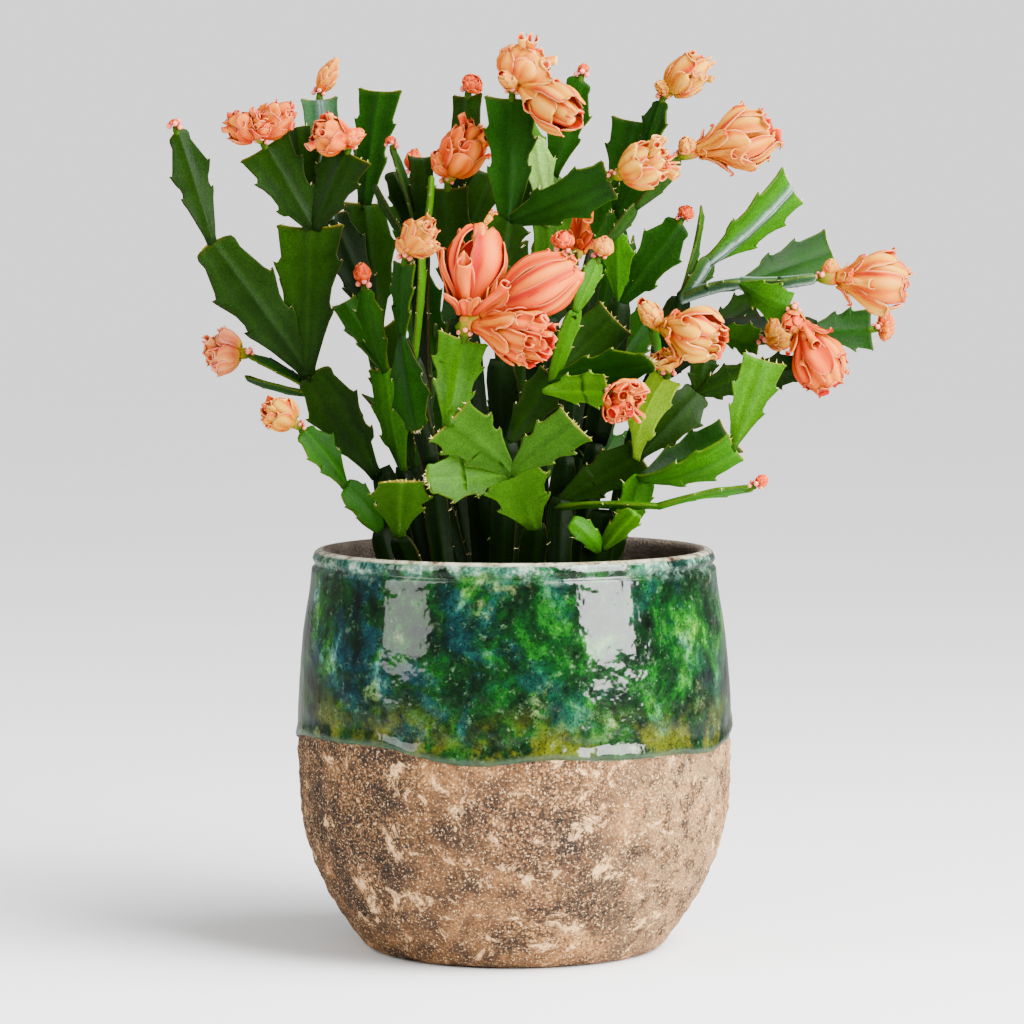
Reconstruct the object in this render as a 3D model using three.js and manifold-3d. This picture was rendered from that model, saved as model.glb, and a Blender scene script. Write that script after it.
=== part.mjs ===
// A christmas cactus in flower, planted in a two-tone stoneware pot.
// Millimetres, +Z up. The pot stands on the plane Z = 0 with its axis on the Z axis,
// and the side that shows most flowers faces -Y.
import * as THREE from 'three';
import { mergeVertices } from 'three/addons/utils/BufferGeometryUtils.js';
import Module from 'manifold-3d';

const wasm = await Module();
wasm.setup();

// Driving dimensions of the pot.
const POT_RADIUS = 90;
const POT_HEIGHT = 166;
const WALL = 8;
const FLOOR = 10;
const POT_SEGMENTS = 40;
const GLAZE_EDGE = 89.5;      // mean height of the wavy lower edge of the glaze
const GLAZE_LIP = 1.0;        // how far the glaze stands proud of the raw clay there

// Driving dimensions of the soil and of the holes that the stems stand in.
const SOIL_TOP = 142;
const SOIL_DOME = 2.2;
const CLEARANCE = 0.3;
const ROOT_RADIUS = 3.4;
const ROOT_DEPTH = 12;
const STEM_FOOT = 147;        // where the flat part of a stem begins, just above the soil

// Driving dimensions of the leaf pads (flat stem joints).
const PAD_CUP = 0.07;
const PEG_RADIUS = 1.8;
const PEG_RISE = 2.2;         // how far a flower's peg stands off its pad's tip
const PEG_LENGTH = 0.7;
const BUNCH_FORK = 2.8;       // how far up a bunch's first flower the others leave it
const JOINT_REACH = 3.6;      // a joint whose foot is nearer than this to a free tip follows on

// The plant is laid out as it shows from the front: [across, up, back] is where a point shows on
// the upright plane through the pot's axis, seen from an eye in front of it, and how far behind
// that plane the point really lies.
const EYE_DISTANCE = 1700;
const EYE_HEIGHT = 297;

// Kinds of joint: an old thick one, a toothed pad, and a slim young one with plain edges.
const OLD = 0;
const PAD = 1;
const SLIM = 2;

// Kinds of bloom: a long double flower, a short crumpled one, and a bud.
const LONG = 0;
const FULL = 1;
const BUD = 2;

// Every stem, joint by joint: across, up and back of its foot and of its tip, its width,
// its turn about its length, its further twist towards the tip, its bow, and its kind.
const STEMS = {
  stem_low_left: ['bright', [
    [-48, 147, -15, -55.8, 173.7, -19, 10, 10, 0, 1, OLD],
    [-55.8, 173.7, -19, -70.4, 191.7, -25, 15, 35, 10, 2, SLIM],
    [-70.4, 191.7, -25, -87.9, 214.6, -28, 17, 42, 0, 2, PAD],
  ]],
  stem_far_left: ['dark', [
    [-42, 147, 2, -55, 199.6, -3, 11, 0, 0, 1, OLD],
    [-58, 197, -5, -84, 238.8, -10, 25, -8, 0, 2, PAD],
    [-86, 239, -10, -125.4, 292.9, -24, 26, 5, 0, 3, PAD],
    [-125.4, 293, -24, -139.6, 338.8, -30, 18, 20, 0, 1, PAD],
    [-86, 239, -11, -83.8, 300, -14, 28, -6, 0, 3, PAD],
    [-83.8, 299, -14, -103.3, 332.9, -19, 23, 8, 0, 2, PAD],
    [-82.5, 299, -15, -68.8, 330.8, -21, 21, -15, 0, 1, PAD],
    [-83, 298, -12, -89.2, 340.8, -2, 18, -20, 0, 1, PAD],
    [-84, 232, -8, -108.8, 245.8, 4, 10, 68, 0, 1, SLIM],
    [-83, 230, -7, -111.2, 237, 14, 9, -70, 0, 1, SLIM],
    [-57.6, 196.4, -4.4, -64, 222, 32, 22, -82, 0, 1, PAD],
    [-85, 236.5, -9.6, -94, 272, 22, 22, 80, 0, 1, PAD],
  ]],
  stem_front_left: ['matte', [
    [-38, 147, -32, -48, 171, -43, 10, -10, 0, 1, OLD],
    [-48, 171, -43, -46.5, 194, -70, 24, 5, 0, -3, PAD],
  ]],
  stem_left_inner: ['bright', [
    [-36, 147, 14, -46, 199, 10, 10, 0, 0, 0, OLD],
    [-46, 198, 10, -53, 241, 3, 16, -20, 0, 2, PAD],
    [-53, 240, 3, -61.7, 273.7, -8, 14, -30, 0, 2, PAD],
    [-54, 240, 3, -71, 268.5, 3, 13, 30, 0, 1, PAD],
  ]],
  stem_left_back: ['dark', [
    [-28, 147, 30, -42, 200, 40, 11, 0, 0, 0, OLD],
    [-42, 199, 40, -56, 258, 42, 18, -20, 0, 0, PAD],
    [-56, 257, 42, -62, 309.5, 44, 24, 0, 0, 2, PAD],
    [-57, 257, 42, -76, 304.5, 32, 20, 20, 0, 2, PAD],
    [-62, 309, 44, -55.4, 356, 48, 17, -12, 0, 1, PAD],
    [-76, 303.5, 32, -80.4, 352.5, 36, 18, 10, 0, 1, PAD],
    [-57, 254, 42, -68, 286, 72, 22, 75, 0, 1, PAD],
    [-43, 199, 40, -56, 228, 70, 22, 60, 0, 2, PAD],
    [-62, 307, 44, -66, 336, 74, 20, 80, 0, 1, PAD],
  ]],
  stem_left_slim: ['bright', [
    [-20, 147, -10, -34, 195, -15, 10, 0, 0, 0, OLD],
    [-34, 194, -15, -41.7, 244.6, -19, 9, 10, 0, 0, OLD],
    [-41.7, 244, -19, -38.4, 291.7, -20, 11, 78, 0, 1, SLIM],
    [-38.4, 291, -20, -34.2, 320.8, -20, 11, 84, 0, 1, SLIM],
  ]],
  stem_left_front: ['mid', [
    [-28, 147, -25, -34, 200, -32, 10, 5, 0, 0, OLD],
    [-34, 199, -32, -46.7, 252.5, -31, 9, -10, 0, 0, OLD],
    [-46.7, 254, -33, -40, 215.4, -42, 17, 10, 0, 3, PAD],
    [-46.7, 251, -31, -45.4, 284.6, -34, 12, -35, 0, 1, PAD],
  ]],
  stem_left_tall: ['dark', [
    [-22, 147, 12, -36, 215, 4, 10, 0, 0, 0, OLD],
    [-36, 214, 4, -37.5, 292, 6, 10, -55, 10, 2, OLD],
    [-37.5, 291, 6, -38.7, 328.7, 6, 12, 30, 0, 1, PAD],
    [-38, 289, 7, -50.6, 322, 13, 13, 30, 0, 1, PAD],
    [-38, 287, 6, -50, 331, 5, 10, 74, 0, 1, SLIM],
    [-39, 286, 8, -58, 317, 11, 10, -72, 0, 1, SLIM],
    [-36, 213, 4, -36, 246, 30, 19, 84, 0, 1, PAD],
  ]],
  stem_centre_left: ['dark', [
    [-12, 147, 2, -16, 210, 0, 11, 0, 0, 0, OLD],
    [-16, 209, 0, -22, 262, -4, 14, 15, 0, 1, OLD],
    [-22, 261, -4, -27.5, 316, -8, 19, -10, 0, 1, PAD],
    [-23, 292, -4, -10.5, 322, -6, 17, 20, 0, 1, PAD],
    [-22, 290, -2, -19, 354, 4, 15, -15, 0, 1, PAD],
    [-16, 208, 0, -19, 240, 30, 20, 86, 0, 1, PAD],
  ]],
  stem_centre: ['dark', [
    [0, 147, -6, -2, 200, -14, 11, 0, 0, 0, OLD],
    [-2, 199, -14, -6, 245, -22, 13, -10, 0, 0, OLD],
    [-6, 244, -22, -6, 284, -27, 16, 10, 0, 0, PAD],
    [-6, 283, -27, -2.5, 304, -26, 20, 0, 0, 0, PAD],
    [-2.5, 302, -26, -0.8, 352.9, -27, 22, 0, 0, 1, PAD],
    [-1.5, 302, -26, 39.6, 319.6, -33, 23, 12, 0, 2, PAD],
  ]],
  stem_front: ['matte', [
    [6, 147, -29, 8.7, 176, -41, 11, 0, 0, 0, OLD],
    [8.7, 174, -41, -1.2, 199, -62, 28, 0, 0, -2, PAD],
    [-1.2, 197.5, -62, -27, 219.2, -79, 26, -8, 0, -3, PAD],
    [-1.2, 197.5, -62, 25.8, 217.9, -77, 21, 14, 0, -2, PAD],
    [-3, 196.5, -61, -36.3, 194.6, -72, 20, 0, 20, -2, PAD],
    [-27, 217.9, -79, -20.8, 253.3, -74, 21, 8, 0, -3, PAD],
  ]],
  stem_centre_back: ['matte', [
    [8, 147, 18, 10, 205, 22, 10, 0, 0, 0, OLD],
    [10, 204, 22, 13, 262, 24, 15, 10, 0, 0, OLD],
    [13, 261, 24, 16, 322, 28, 18, 5, 0, 0, PAD],
    [16, 321, 28, 27.5, 360.4, 34, 18, -10, 0, 1, PAD],
    [14, 300, 26, 9, 335, 18, 14, 15, 0, 1, PAD],
    [13, 260, 25, 8, 292, 58, 21, 100, 0, 1, PAD],
    [15, 318, 28, 2, 344, 50, 19, 50, 0, 1, PAD],
  ]],
  stem_right_back: ['mid', [
    [20, 147, 30, 28, 205, 36, 10, 0, 0, 0, OLD],
    [28, 204, 36, 36, 262, 38, 15, 0, 0, 0, OLD],
    [36, 261, 38, 43, 305, 38, 17, 10, 0, 0, PAD],
    [43, 304, 38, 49.2, 343.7, 42, 19, -8, 0, 1, PAD],
    [43.2, 303, 38, 54, 326, 33, 14, -20, 0, 0, SLIM],
    [54, 325, 33, 61.3, 351.2, 31, 14, -35, 0, 1, PAD],
    [36, 260, 38, 50, 292, 66, 22, 70, 0, 1, PAD],
    [28, 203, 35.5, 14, 230, 54, 21, -60, 0, 1, PAD],
  ]],
  stem_right_slim: ['bright', [
    [14, 147, -2, 22, 205, -8, 10, 0, 0, 0, OLD],
    [22, 204, -8, 27, 250, -10, 10, 15, 0, 0, OLD],
    [27, 249, -10, 33.7, 290.4, -12, 10, 30, 10, 0, OLD],
    [33.7, 289.5, -12, 50.4, 308.3, -8, 11, 66, 0, 1, SLIM],
    [50.4, 307.5, -8, 67.9, 327.5, -10, 12, 62, 0, 1, SLIM],
  ]],
  stem_right_inner: ['bright', [
    [26, 147, 3, 34, 210, 6, 10, 0, 0, 0, OLD],
    [34, 209, 6, 44, 270, 4, 13, 0, 0, 0, OLD],
    [43.6, 268, 4, 43.3, 296.7, 2, 14, -10, 0, 1, PAD],
    [44, 268, 4, 68.7, 301.2, 0, 21, -5, 0, 2, PAD],
  ]],
  stem_right: ['bright', [
    [38, 147, 2, 48, 200, 8, 10, 0, 0, 0, OLD],
    [48, 199, 8, 60, 240, 10, 11, 0, 0, 0, OLD],
    [60, 239, 10, 69.2, 270.8, 3, 12, 10, 0, 0, OLD],
    [69.2, 270, 3, 81, 286, 4, 13, 50, 0, 1, SLIM],
    [80.4, 285, 4, 115, 316.7, 16, 24, 42, 0, 2, PAD],
    [69.2, 270, 3, 95, 276.3, -7, 11, 70, 0, -1, SLIM],
    [94, 276.2, -7, 114.2, 266.2, -15, 17, 30, -30, 3, PAD],
    [94, 276.2, -7, 125.4, 278.3, -11, 11, 72, 0, 1, SLIM],
    [95, 276.5, -6, 132, 289.2, 20, 20, -10, 0, -1, PAD],
    [60, 239, 10, 57, 258.5, -29, 11, 70, 0, 1, SLIM],
    [60, 239, 10, 84, 256, 12, 12, 15, 0, -1, OLD],
    [83, 256, 12, 102, 252, 4, 14, 10, 0, -1, PAD],
    [83, 256, 12, 100, 267, 26, 17, 0, 0, -1, PAD],
    [83, 256, 13, 125.4, 257, 28, 13, 0, 0, -1, OLD],
    [124, 257, 28, 148.7, 257, 34, 19, -5, 0, -1, PAD],
    [60, 238, 10, 68, 262, 44, 21, 86, 0, 1, PAD],
    [69.2, 269, 3, 78, 305, 34, 20, 80, 0, 1, PAD],
  ]],
  stem_middle: ['dark', [
    [-6, 147, -20, -2, 211, -30, 11, 0, 0, 0, OLD],
    [-2, 210, -30, 16.5, 238, -32, 18, 0, 0, -1, PAD],
    [16.5, 237, -31, 42, 262, -28, 25, 12, 0, -2, PAD],
    [15, 235, -31.5, 57.5, 243.7, -52, 18, 0, 40, -2, PAD],
    [12.5, 231.5, -31, 39.5, 231.5, -54, 17, 5, 20, -2, PAD],
    [15.4, 234.5, -31, 25.4, 265.4, -44, 9, 40, 0, 0, SLIM],
    [25.4, 264.5, -44, 34.6, 285.4, -40, 9, 30, 0, 0, SLIM],
    [24.5, 262, -43, 20.4, 288, -38, 14, -20, 0, 0, PAD],
  ]],
  stem_right_mid: ['dark', [
    [18, 147, -18, 19.5, 187, -15, 11, 0, 0, 0, OLD],
    [19.5, 186, -15, 52.5, 205, -16, 21, 0, 0, -1, PAD],
    [51, 204, -17, 63.7, 237, -23, 20, -40, 0, 4, PAD],
    [52, 204, -16, 77, 231, -5, 21, -8, 0, 1, PAD],
    [76, 230.5, -5, 79.6, 248, -4, 13, 10, 0, 0, PAD],
    [76, 230.5, -5, 97, 239.6, -9, 16, 20, 0, 1, PAD],
    [96, 239, -9, 118, 241, -11, 17, 10, 0, 1, PAD],
  ]],
  stem_right_front: ['bright', [
    [30, 147, -24, 44, 172, -30, 10, 0, 0, 0, OLD],
    [44, 171, -30, 54, 196, -34, 14, 0, 0, 0, SLIM],
    [53, 195, -34, 90, 213, -23, 18, 0, 0, -2, PAD],
    [53, 195, -35, 92, 208.7, -49, 17, 40, 0, 5, PAD],
    [91, 208, -49, 104.2, 244.6, -46, 19, 0, 0, 1, PAD],
  ]],
  stem_low_right: ['bright', [
    [33, 147, -36, 36.5, 182, -43, 13, 0, 0, 0, OLD],
    [19, 183, -35, 61, 183.3, -53, 13, 78, 0, -1, SLIM],
    [60, 183.3, -53, 98.3, 191.2, -62, 14, 72, 0, -1, PAD],
    [37, 166, -41, 50.5, 181, -54, 11, 20, 0, -1, SLIM],
    [35, 165, -41, 23.5, 177, -51, 10, 20, 0, 4, SLIM],
  ]],
  stem_rear_left: ['mid', [
    [-16, 147, 44, -26, 196, 56, 11, 180, 0, 0, OLD],
    [-26, 195, 56, -32, 241, 70, 18, 180, 0, 0, PAD],
    [-32, 240, 70, -44, 284, 82, 24, 165, 0, 1, PAD],
    [-32, 240, 70, -16, 280, 86, 22, 205, 0, 1, PAD],
    [-44, 283, 82, -42, 320, 80, 20, 170, 0, 1, PAD],
    [-26, 194, 56, -42, 216, 88, 24, 160, 0, 2, PAD],
    [-27, 196, 56, -8, 222, 82, 20, 200, 0, 2, PAD],
  ]],
  stem_rear: ['dark', [
    [4, 147, 50, 2, 200, 66, 11, 180, 0, 0, OLD],
    [2, 199, 66, 4, 246, 84, 19, 180, 0, 0, PAD],
    [4, 245, 84, -4, 292, 98, 25, 175, 0, 1, PAD],
    [4, 245, 84, 24, 284, 98, 22, 195, 0, 1, PAD],
    [-4, 291, 98, 4, 330, 96, 20, 170, 0, 1, PAD],
    [2, 198, 66, -14, 214, 104, 23, 170, 0, 2, PAD],
    [3, 199, 66, 20, 206, 102, 22, 190, 0, 2, PAD],
  ]],
  stem_rear_right: ['mid', [
    [22, 147, 42, 32, 196, 52, 11, 180, 0, 0, OLD],
    [32, 195, 52, 40, 240, 66, 18, 180, 0, 0, PAD],
    [40, 239, 66, 36, 286, 74, 23, 195, 0, 1, PAD],
    [36, 285, 74, 44, 322, 66, 20, 200, 0, 1, PAD],
    [40, 239, 66, 58, 266, 88, 22, 150, 0, 1, PAD],
    [33, 194, 52, 52, 212, 82, 23, 170, 0, 2, PAD],
  ]],
};

// Every bloom or bunch: its stem, the joint that bears it, its colour, and for each flower or bud
// across, up and back of its tip, its width and its kind.
const BLOOMS = {
  blooms_front: ['stem_front', 5, 'coral', [
    [-15, 300.4, -66, 26, LONG],
    [27.5, 284, -74, 25, LONG],
    [16, 251, -88, 19, FULL],
  ]],
  blooms_crown: ['stem_centre', 4, 'coral', [
    [8, 373, -22, 23, FULL],
    [27, 343, -52, 20, FULL],
    [-6, 363, -34, 8, BUD],
  ]],
  blooms_centre_left: ['stem_centre_left', 2, 'peach', [
    [-14, 343, -16, 19, FULL],
    [-33.5, 331, -13, 10, BUD],
  ]],
  bud_crown_left: ['stem_centre_left', 4, 'rose', [
    [-15.5, 361, -1, 9, BUD],
  ]],
  blooms_inner_left: ['stem_left_front', 3, 'peach', [
    [-34, 304, -38, 14, FULL],
    [-48, 295, -38, 8, BUD],
    [-30.5, 292, -42, 8, BUD],
  ]],
  bud_left_inner: ['stem_left_inner', 2, 'rose', [
    [-63.6, 285, -10, 7, BUD],
  ]],
  blooms_left_top: ['stem_far_left', 5, 'coral', [
    [-119, 346, -20, 14, FULL],
    [-103, 345.5, -27, 11, FULL],
    [-91, 350, -17, 15, FULL],
  ]],
  blooms_left_second: ['stem_far_left', 6, 'coral', [
    [-84, 341, -29, 16, FULL],
    [-61.5, 339, -24, 8, BUD],
  ]],
  bud_left_tall: ['stem_left_back', 5, 'peach', [
    [-73, 369.5, 38, 8, BUD],
  ]],
  bloom_left_side: ['stem_far_left', 8, 'rose', [
    [-129, 248.7, 6, 18, FULL],
  ]],
  bloom_low_left: ['stem_low_left', 2, 'amber', [
    [-104, 227, -32, 14, FULL],
  ]],
  bud_far_left: ['stem_far_left', 3, 'rose', [
    [-141, 344, -31, 4.5, BUD],
  ]],
  bud_left_slim: ['stem_left_tall', 4, 'rose', [
    [-51.5, 337, 5, 4.5, BUD],
  ]],
  bloom_right_upper: ['stem_centre', 5, 'peach', [
    [65, 328.5, -42, 19, FULL],
  ]],
  bud_centre_back: ['stem_centre_back', 3, 'rose', [
    [29.5, 367, 35, 4.5, BUD],
  ]],
  bloom_right_top: ['stem_right_back', 5, 'peach', [
    [80.5, 369.5, 28, 17, FULL],
    [58.5, 359, 27, 6.5, BUD],
  ]],
  bloom_right_high: ['stem_right_slim', 4, 'peach', [
    [110, 339.6, -17, 24, LONG],
    [70, 336.5, -14, 7.5, BUD],
  ]],
  bud_right_slim: ['stem_middle', 6, 'peach', [
    [38.7, 295.5, -42, 9, BUD],
  ]],
  bud_middle: ['stem_middle', 7, 'rose', [
    [20.4, 298, -40, 9.5, BUD],
  ]],
  bud_right_inner: ['stem_right_inner', 3, 'rose', [
    [73, 308, -2, 7, BUD],
  ]],
  bloom_far_right: ['stem_right', 7, 'peach', [
    [165.8, 275, -15, 25, LONG],
    [132, 286, -6, 8, BUD],
  ]],
  bloom_hanging: ['stem_right', 6, 'coral', [
    [133, 231.5, -22, 22, LONG],
    [113.5, 257.5, -24, 10, BUD],
  ]],
  bloom_right_middle: ['stem_right', 11, 'amber', [
    [117.9, 256, 1, 11, BUD],
    [108, 262.5, -2, 7, BUD],
  ]],
  buds_right_end: ['stem_right', 14, 'coral', [
    [158, 256.5, 36, 9, BUD],
    [154.5, 265, 36, 7, BUD],
  ]],
  bloom_right_front: ['stem_right', 9, 'peach', [
    [88, 252.5, -46, 23, LONG],
    [52, 269.5, -40, 9, BUD],
  ]],
  bloom_right_low: ['stem_right_mid', 2, 'cream', [
    [62.5, 249, -27, 12, FULL],
  ]],
  bloom_middle_low: ['stem_middle', 4, 'coral', [
    [49, 225, -64, 19, FULL],
  ]],
  buds_low_right: ['stem_low_right', 2, 'rose', [
    [105.5, 196, -63, 5, BUD],
  ]],
  bloom_rear_left: ['stem_rear_left', 3, 'peach', [
    [-15, 307, 84, 22, LONG],
  ]],
  bloom_rear: ['stem_rear', 3, 'coral', [
    [34, 306, 110, 22, LONG],
    [20, 297, 108, 8, BUD],
  ]],
  bloom_rear_low: ['stem_rear', 6, 'peach', [
    [29, 212, 120, 17, FULL],
  ]],
  bud_rear_left: ['stem_rear_left', 4, 'rose', [
    [-41, 332, 81, 8, BUD],
  ]],
  buds_rear_right: ['stem_rear_right', 3, 'coral', [
    [50, 335, 66, 12, FULL],
    [40, 334, 68, 7, BUD],
  ]],
};

const COLOURS = {
  dark: 0x2f5a1c,
  mid: 0x3f7a1c,
  bright: 0x78ab2e,
  matte: 0x6b9c45,
  coral: 0xf4694a,
  peach: 0xf9a476,
  rose: 0xec8c86,
  amber: 0xf2a845,
  cream: 0xf5d58c,
  pot: 0x2c6b3c,
  soil: 0x3a2c20,
};

function material(colour, roughness) {
  return new THREE.MeshStandardMaterial({ color: COLOURS[colour], roughness, metalness: 0 });
}

// A small repeatable scatter between -1 and 1.
function scatter(a, b) {
  const wave = Math.sin(a * 12.9898 + b * 78.233) * 43758.5453;
  return 2 * (wave - Math.floor(wave)) - 1;
}

function place(across, up, back) {
  const reach = (EYE_DISTANCE + back) / EYE_DISTANCE;
  return new THREE.Vector3(across * reach, back, EYE_HEIGHT + (up - EYE_HEIGHT) * reach);
}

// Solids and meshes.

function toSolid(points, triangles) {
  const geometry = new THREE.BufferGeometry();
  geometry.setAttribute('position', new THREE.Float32BufferAttribute(points.flat(), 3));
  geometry.setIndex(triangles.flat());
  const merged = mergeVertices(geometry, 1e-5);
  const solid = new wasm.Manifold(new wasm.Mesh({
    numProp: 3,
    vertProperties: Float32Array.from(merged.attributes.position.array),
    triVerts: Uint32Array.from(merged.index.array),
  }));
  return solid;
}

// Skins a row of rings, each with the same number of points, and closes both ends.
// A blade's ring is edge, rib, edge, rib. Both its faces are split into triangles alike, so that
// a waved or twisted blade never cuts through itself.
function skin(rings, isBlade) {
  const count = rings[0].length;
  const points = rings.flat().map((p) => [p.x, p.y, p.z]);
  const triangles = [];
  for (let i = 0; i + 1 < rings.length; i += 1) {
    for (let j = 0; j < count; j += 1) {
      const a = i * count + j;
      const b = i * count + (j + 1) % count;
      if (isBlade && j % 2 === 1) {
        triangles.push([a, b, a + count], [b, b + count, a + count]);
      } else {
        triangles.push([a, b, b + count], [a, b + count, a + count]);
      }
    }
  }
  const ends = isBlade
    ? [[0, 3, 1], [1, 3, 2]]
    : Array.from({ length: count - 2 }, (_, k) => [0, k + 2, k + 1]);
  const last = (rings.length - 1) * count;
  for (const [a, b, c] of ends) {
    triangles.push([a, b, c], [last + a, last + c, last + b]);
  }
  const v = (k) => new THREE.Vector3(...points[k]);
  let volume = 0;
  for (const [a, b, c] of triangles) {
    volume += v(a).dot(v(b).cross(v(c)));
  }
  if (volume < 0) {
    triangles.forEach((t) => t.reverse());
  }
  return toSolid(points, triangles);
}

function join(solids) {
  return solids.reduce((whole, solid) => whole.add(solid));
}

function toMesh(name, solid, surface) {
  const { vertProperties, triVerts } = solid.getMesh();
  const geometry = new THREE.BufferGeometry();
  geometry.setAttribute('position', new THREE.BufferAttribute(vertProperties, 3));
  geometry.setIndex(new THREE.BufferAttribute(triVerts, 1));
  geometry.computeVertexNormals();
  const mesh = new THREE.Mesh(geometry, surface);
  mesh.name = name;
  return mesh;
}

// Two unit vectors square to a direction.
function frameAcross(direction) {
  const helper = Math.abs(direction.z) < 0.9
    ? new THREE.Vector3(0, 0, 1)
    : new THREE.Vector3(1, 0, 0);
  const first = direction.clone().cross(helper).normalize();
  return [first, direction.clone().cross(first).normalize()];
}

// Leaf pads. Each row is one step along the pad: where its middle lies, where its left and right
// edges lie and how wide they stand out, as shares of the length and of half the width, and how
// thick the midrib is there. A tooth is a wide row with a narrower one close behind it.
const PAD_ROWS = [
  [0.06, 0.06, 0.27, 0.06, 0.27, 3.0],
  [0.37, 0.38, 0.80, 0.36, 0.76, 2.9],
  [0.41, 0.43, 0.64, 0.40, 0.62, 2.9],
  [0.67, 0.69, 1.00, 0.66, 0.98, 2.7],
  [0.71, 0.74, 0.82, 0.70, 0.80, 2.6],
  [0.97, 1.03, 0.68, 1.01, 0.72, 2.4],
];
const SLIM_ROWS = [
  [0.10, 0.10, 0.42, 0.10, 0.42, 2.9],
  [0.70, 0.72, 1.00, 0.68, 0.98, 2.5],
  [0.99, 1.01, 0.55, 0.98, 0.57, 2.2],
];
const OLD_ROWS = [
  [0.20, 0.20, 0.90, 0.20, 0.90, 5.4],
  [0.80, 0.80, 1.00, 0.80, 1.00, 5.0],
  [1.00, 1.00, 0.52, 1.00, 0.52, 3.4],
];
const ROWS = [OLD_ROWS, PAD_ROWS, SLIM_ROWS];

// The middle of a joint at a share of its length, and the joint's own directions there.
function jointFrame(joint) {
  const [a0, u0, b0, a1, u1, b1, , turn, twist, bow] = joint;
  const foot = place(a0, u0, b0);
  const along = place(a1, u1, b1).sub(foot);
  const length = along.length();
  along.normalize();
  const facing = new THREE.Vector3(0, -1, 0).addScaledVector(along, along.y);
  if (facing.length() < 0.2) {
    facing.set(0, 0, 1).addScaledVector(along, -along.z);
  }
  facing.normalize();
  const turned = (share) => facing.clone()
    .applyAxisAngle(along, THREE.MathUtils.degToRad(turn + twist * share));
  const face = turned(0.5);
  return (share) => {
    const normal = turned(share);
    const middle = foot.clone().addScaledVector(along, share * length)
      .addScaledVector(face, bow * 4 * share * (1 - share));
    return { middle, normal, along, across: along.clone().cross(normal) };
  };
}

// A blade's section: an edge, the rib on the face, the other edge, the rib on the back.
function bladeRing({ middle, normal, across }, halfWidth, halfThick) {
  return [
    middle.clone().addScaledVector(across, -halfWidth),
    middle.clone().addScaledVector(normal, halfThick),
    middle.clone().addScaledVector(across, halfWidth),
    middle.clone().addScaledVector(normal, -halfThick),
  ];
}

function jointRings(joint, seed) {
  const width = joint[6];
  const at = jointFrame(joint);
  return ROWS[joint[10]].map(([mid, left, leftWide, right, rightWide, thick], k) => {
    const sway = k > 0 && joint[10] === PAD ? 0.03 * scatter(seed, k) : 0;
    const ring = bladeRing(at(mid), 0, thick / 2);
    [[left + sway, -leftWide], [right - sway, rightWide]].forEach(([share, wide], side) => {
      const reach = wide * width / 2 * (1 + sway);
      const here = at(share);
      ring[2 * side] = here.middle.clone().addScaledVector(here.across, reach)
        .addScaledVector(here.normal, PAD_CUP * Math.abs(reach));
    });
    return ring;
  });
}

// The two level sections of a stem's foot, which stands upright in its hole in the soil.
function footRings(joint, radius, bottom, top) {
  const { middle, normal } = jointFrame(joint)(0);
  const level = new THREE.Vector3(normal.x, normal.y, 0).normalize();
  const across = new THREE.Vector3(0, 0, 1).cross(level);
  return [bottom, top].map((z) => bladeRing(
    { middle: new THREE.Vector3(middle.x, middle.y, z), normal: level, across }, radius, radius,
  ));
}

// Joints that follow one another tip to foot run through in one skin. A joint that branches off
// starts a run of its own, sunk into the tip that it grows from.
function runsOf(joints) {
  const runs = [];
  joints.forEach((joint, index) => {
    const follows = runs.find((run) => {
      const end = joints[run[run.length - 1]];
      return Math.hypot(end[3] - joint[0], end[4] - joint[1], end[5] - joint[2]) < JOINT_REACH;
    });
    if (follows) {
      follows.push(index);
    } else {
      runs.push([index]);
    }
  });
  return runs;
}

// Turns a ring half round where that brings it nearer to the one before.
function alignRing(ring, before) {
  const chord = (r) => r[2].clone().sub(r[0]);
  return chord(ring).dot(chord(before)) < 0 ? [ring[2], ring[3], ring[0], ring[1]] : ring;
}

function runSolid(joints, run, seed, pegEnds) {
  const first = joints[run[0]];
  const rings = run[0] === 0
    ? footRings(first, ROOT_RADIUS, SOIL_TOP - ROOT_DEPTH, STEM_FOOT)
    : [bladeRing(jointFrame(first)(-0.07), 1.1, 0.6)];
  run.forEach((index, k) => {
    const joint = joints[index];
    const at = jointFrame(joint);
    const follows = k + 1 < run.length;
    const pegEnd = pegEnds.get(index);
    const own = jointRings(joint, seed + index);
    if ((follows && joint[10] === PAD) || pegEnd) {
      own.push(bladeRing(at(0.985), follows ? 2.4 : PEG_RADIUS, 1.2));
    }
    if (pegEnd) {
      const [e1, e2] = frameAcross(pegEnd.out);
      own.push(bladeRing({ middle: pegEnd.tip, normal: e1, across: e2 }, PEG_RADIUS, PEG_RADIUS));
    }
    own.forEach((ring) => rings.push(alignRing(ring, rings[rings.length - 1])));
  });
  return skin(rings, true);
}

function stemSolid(name, seed) {
  const joints = STEMS[name][1];
  const pegEnds = new Map();
  Object.values(BLOOMS).filter(([stem]) => stem === name).forEach((bloom) => {
    const { pegEnd, out } = bloomAxis(bloom);
    pegEnds.set(bloom[1], { tip: pegEnd, out });
  });
  return join(runsOf(joints).map((run) => runSolid(joints, run, seed, pegEnds)));
}

// Flowers. A flower or bud grows out of a short green peg on the tip of its pad.
function bloomAxis([stem, index, , flowers]) {
  const { middle, along } = jointFrame(STEMS[stem][1][index])(1);
  const raised = middle.addScaledVector(along, PEG_RISE);
  const out = place(...flowers[0].slice(0, 3)).sub(raised).normalize();
  return {
    pegEnd: raised.clone().addScaledVector(out, PEG_LENGTH),
    start: raised.clone().addScaledVector(out, PEG_LENGTH + CLEARANCE),
    out,
  };
}

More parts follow.
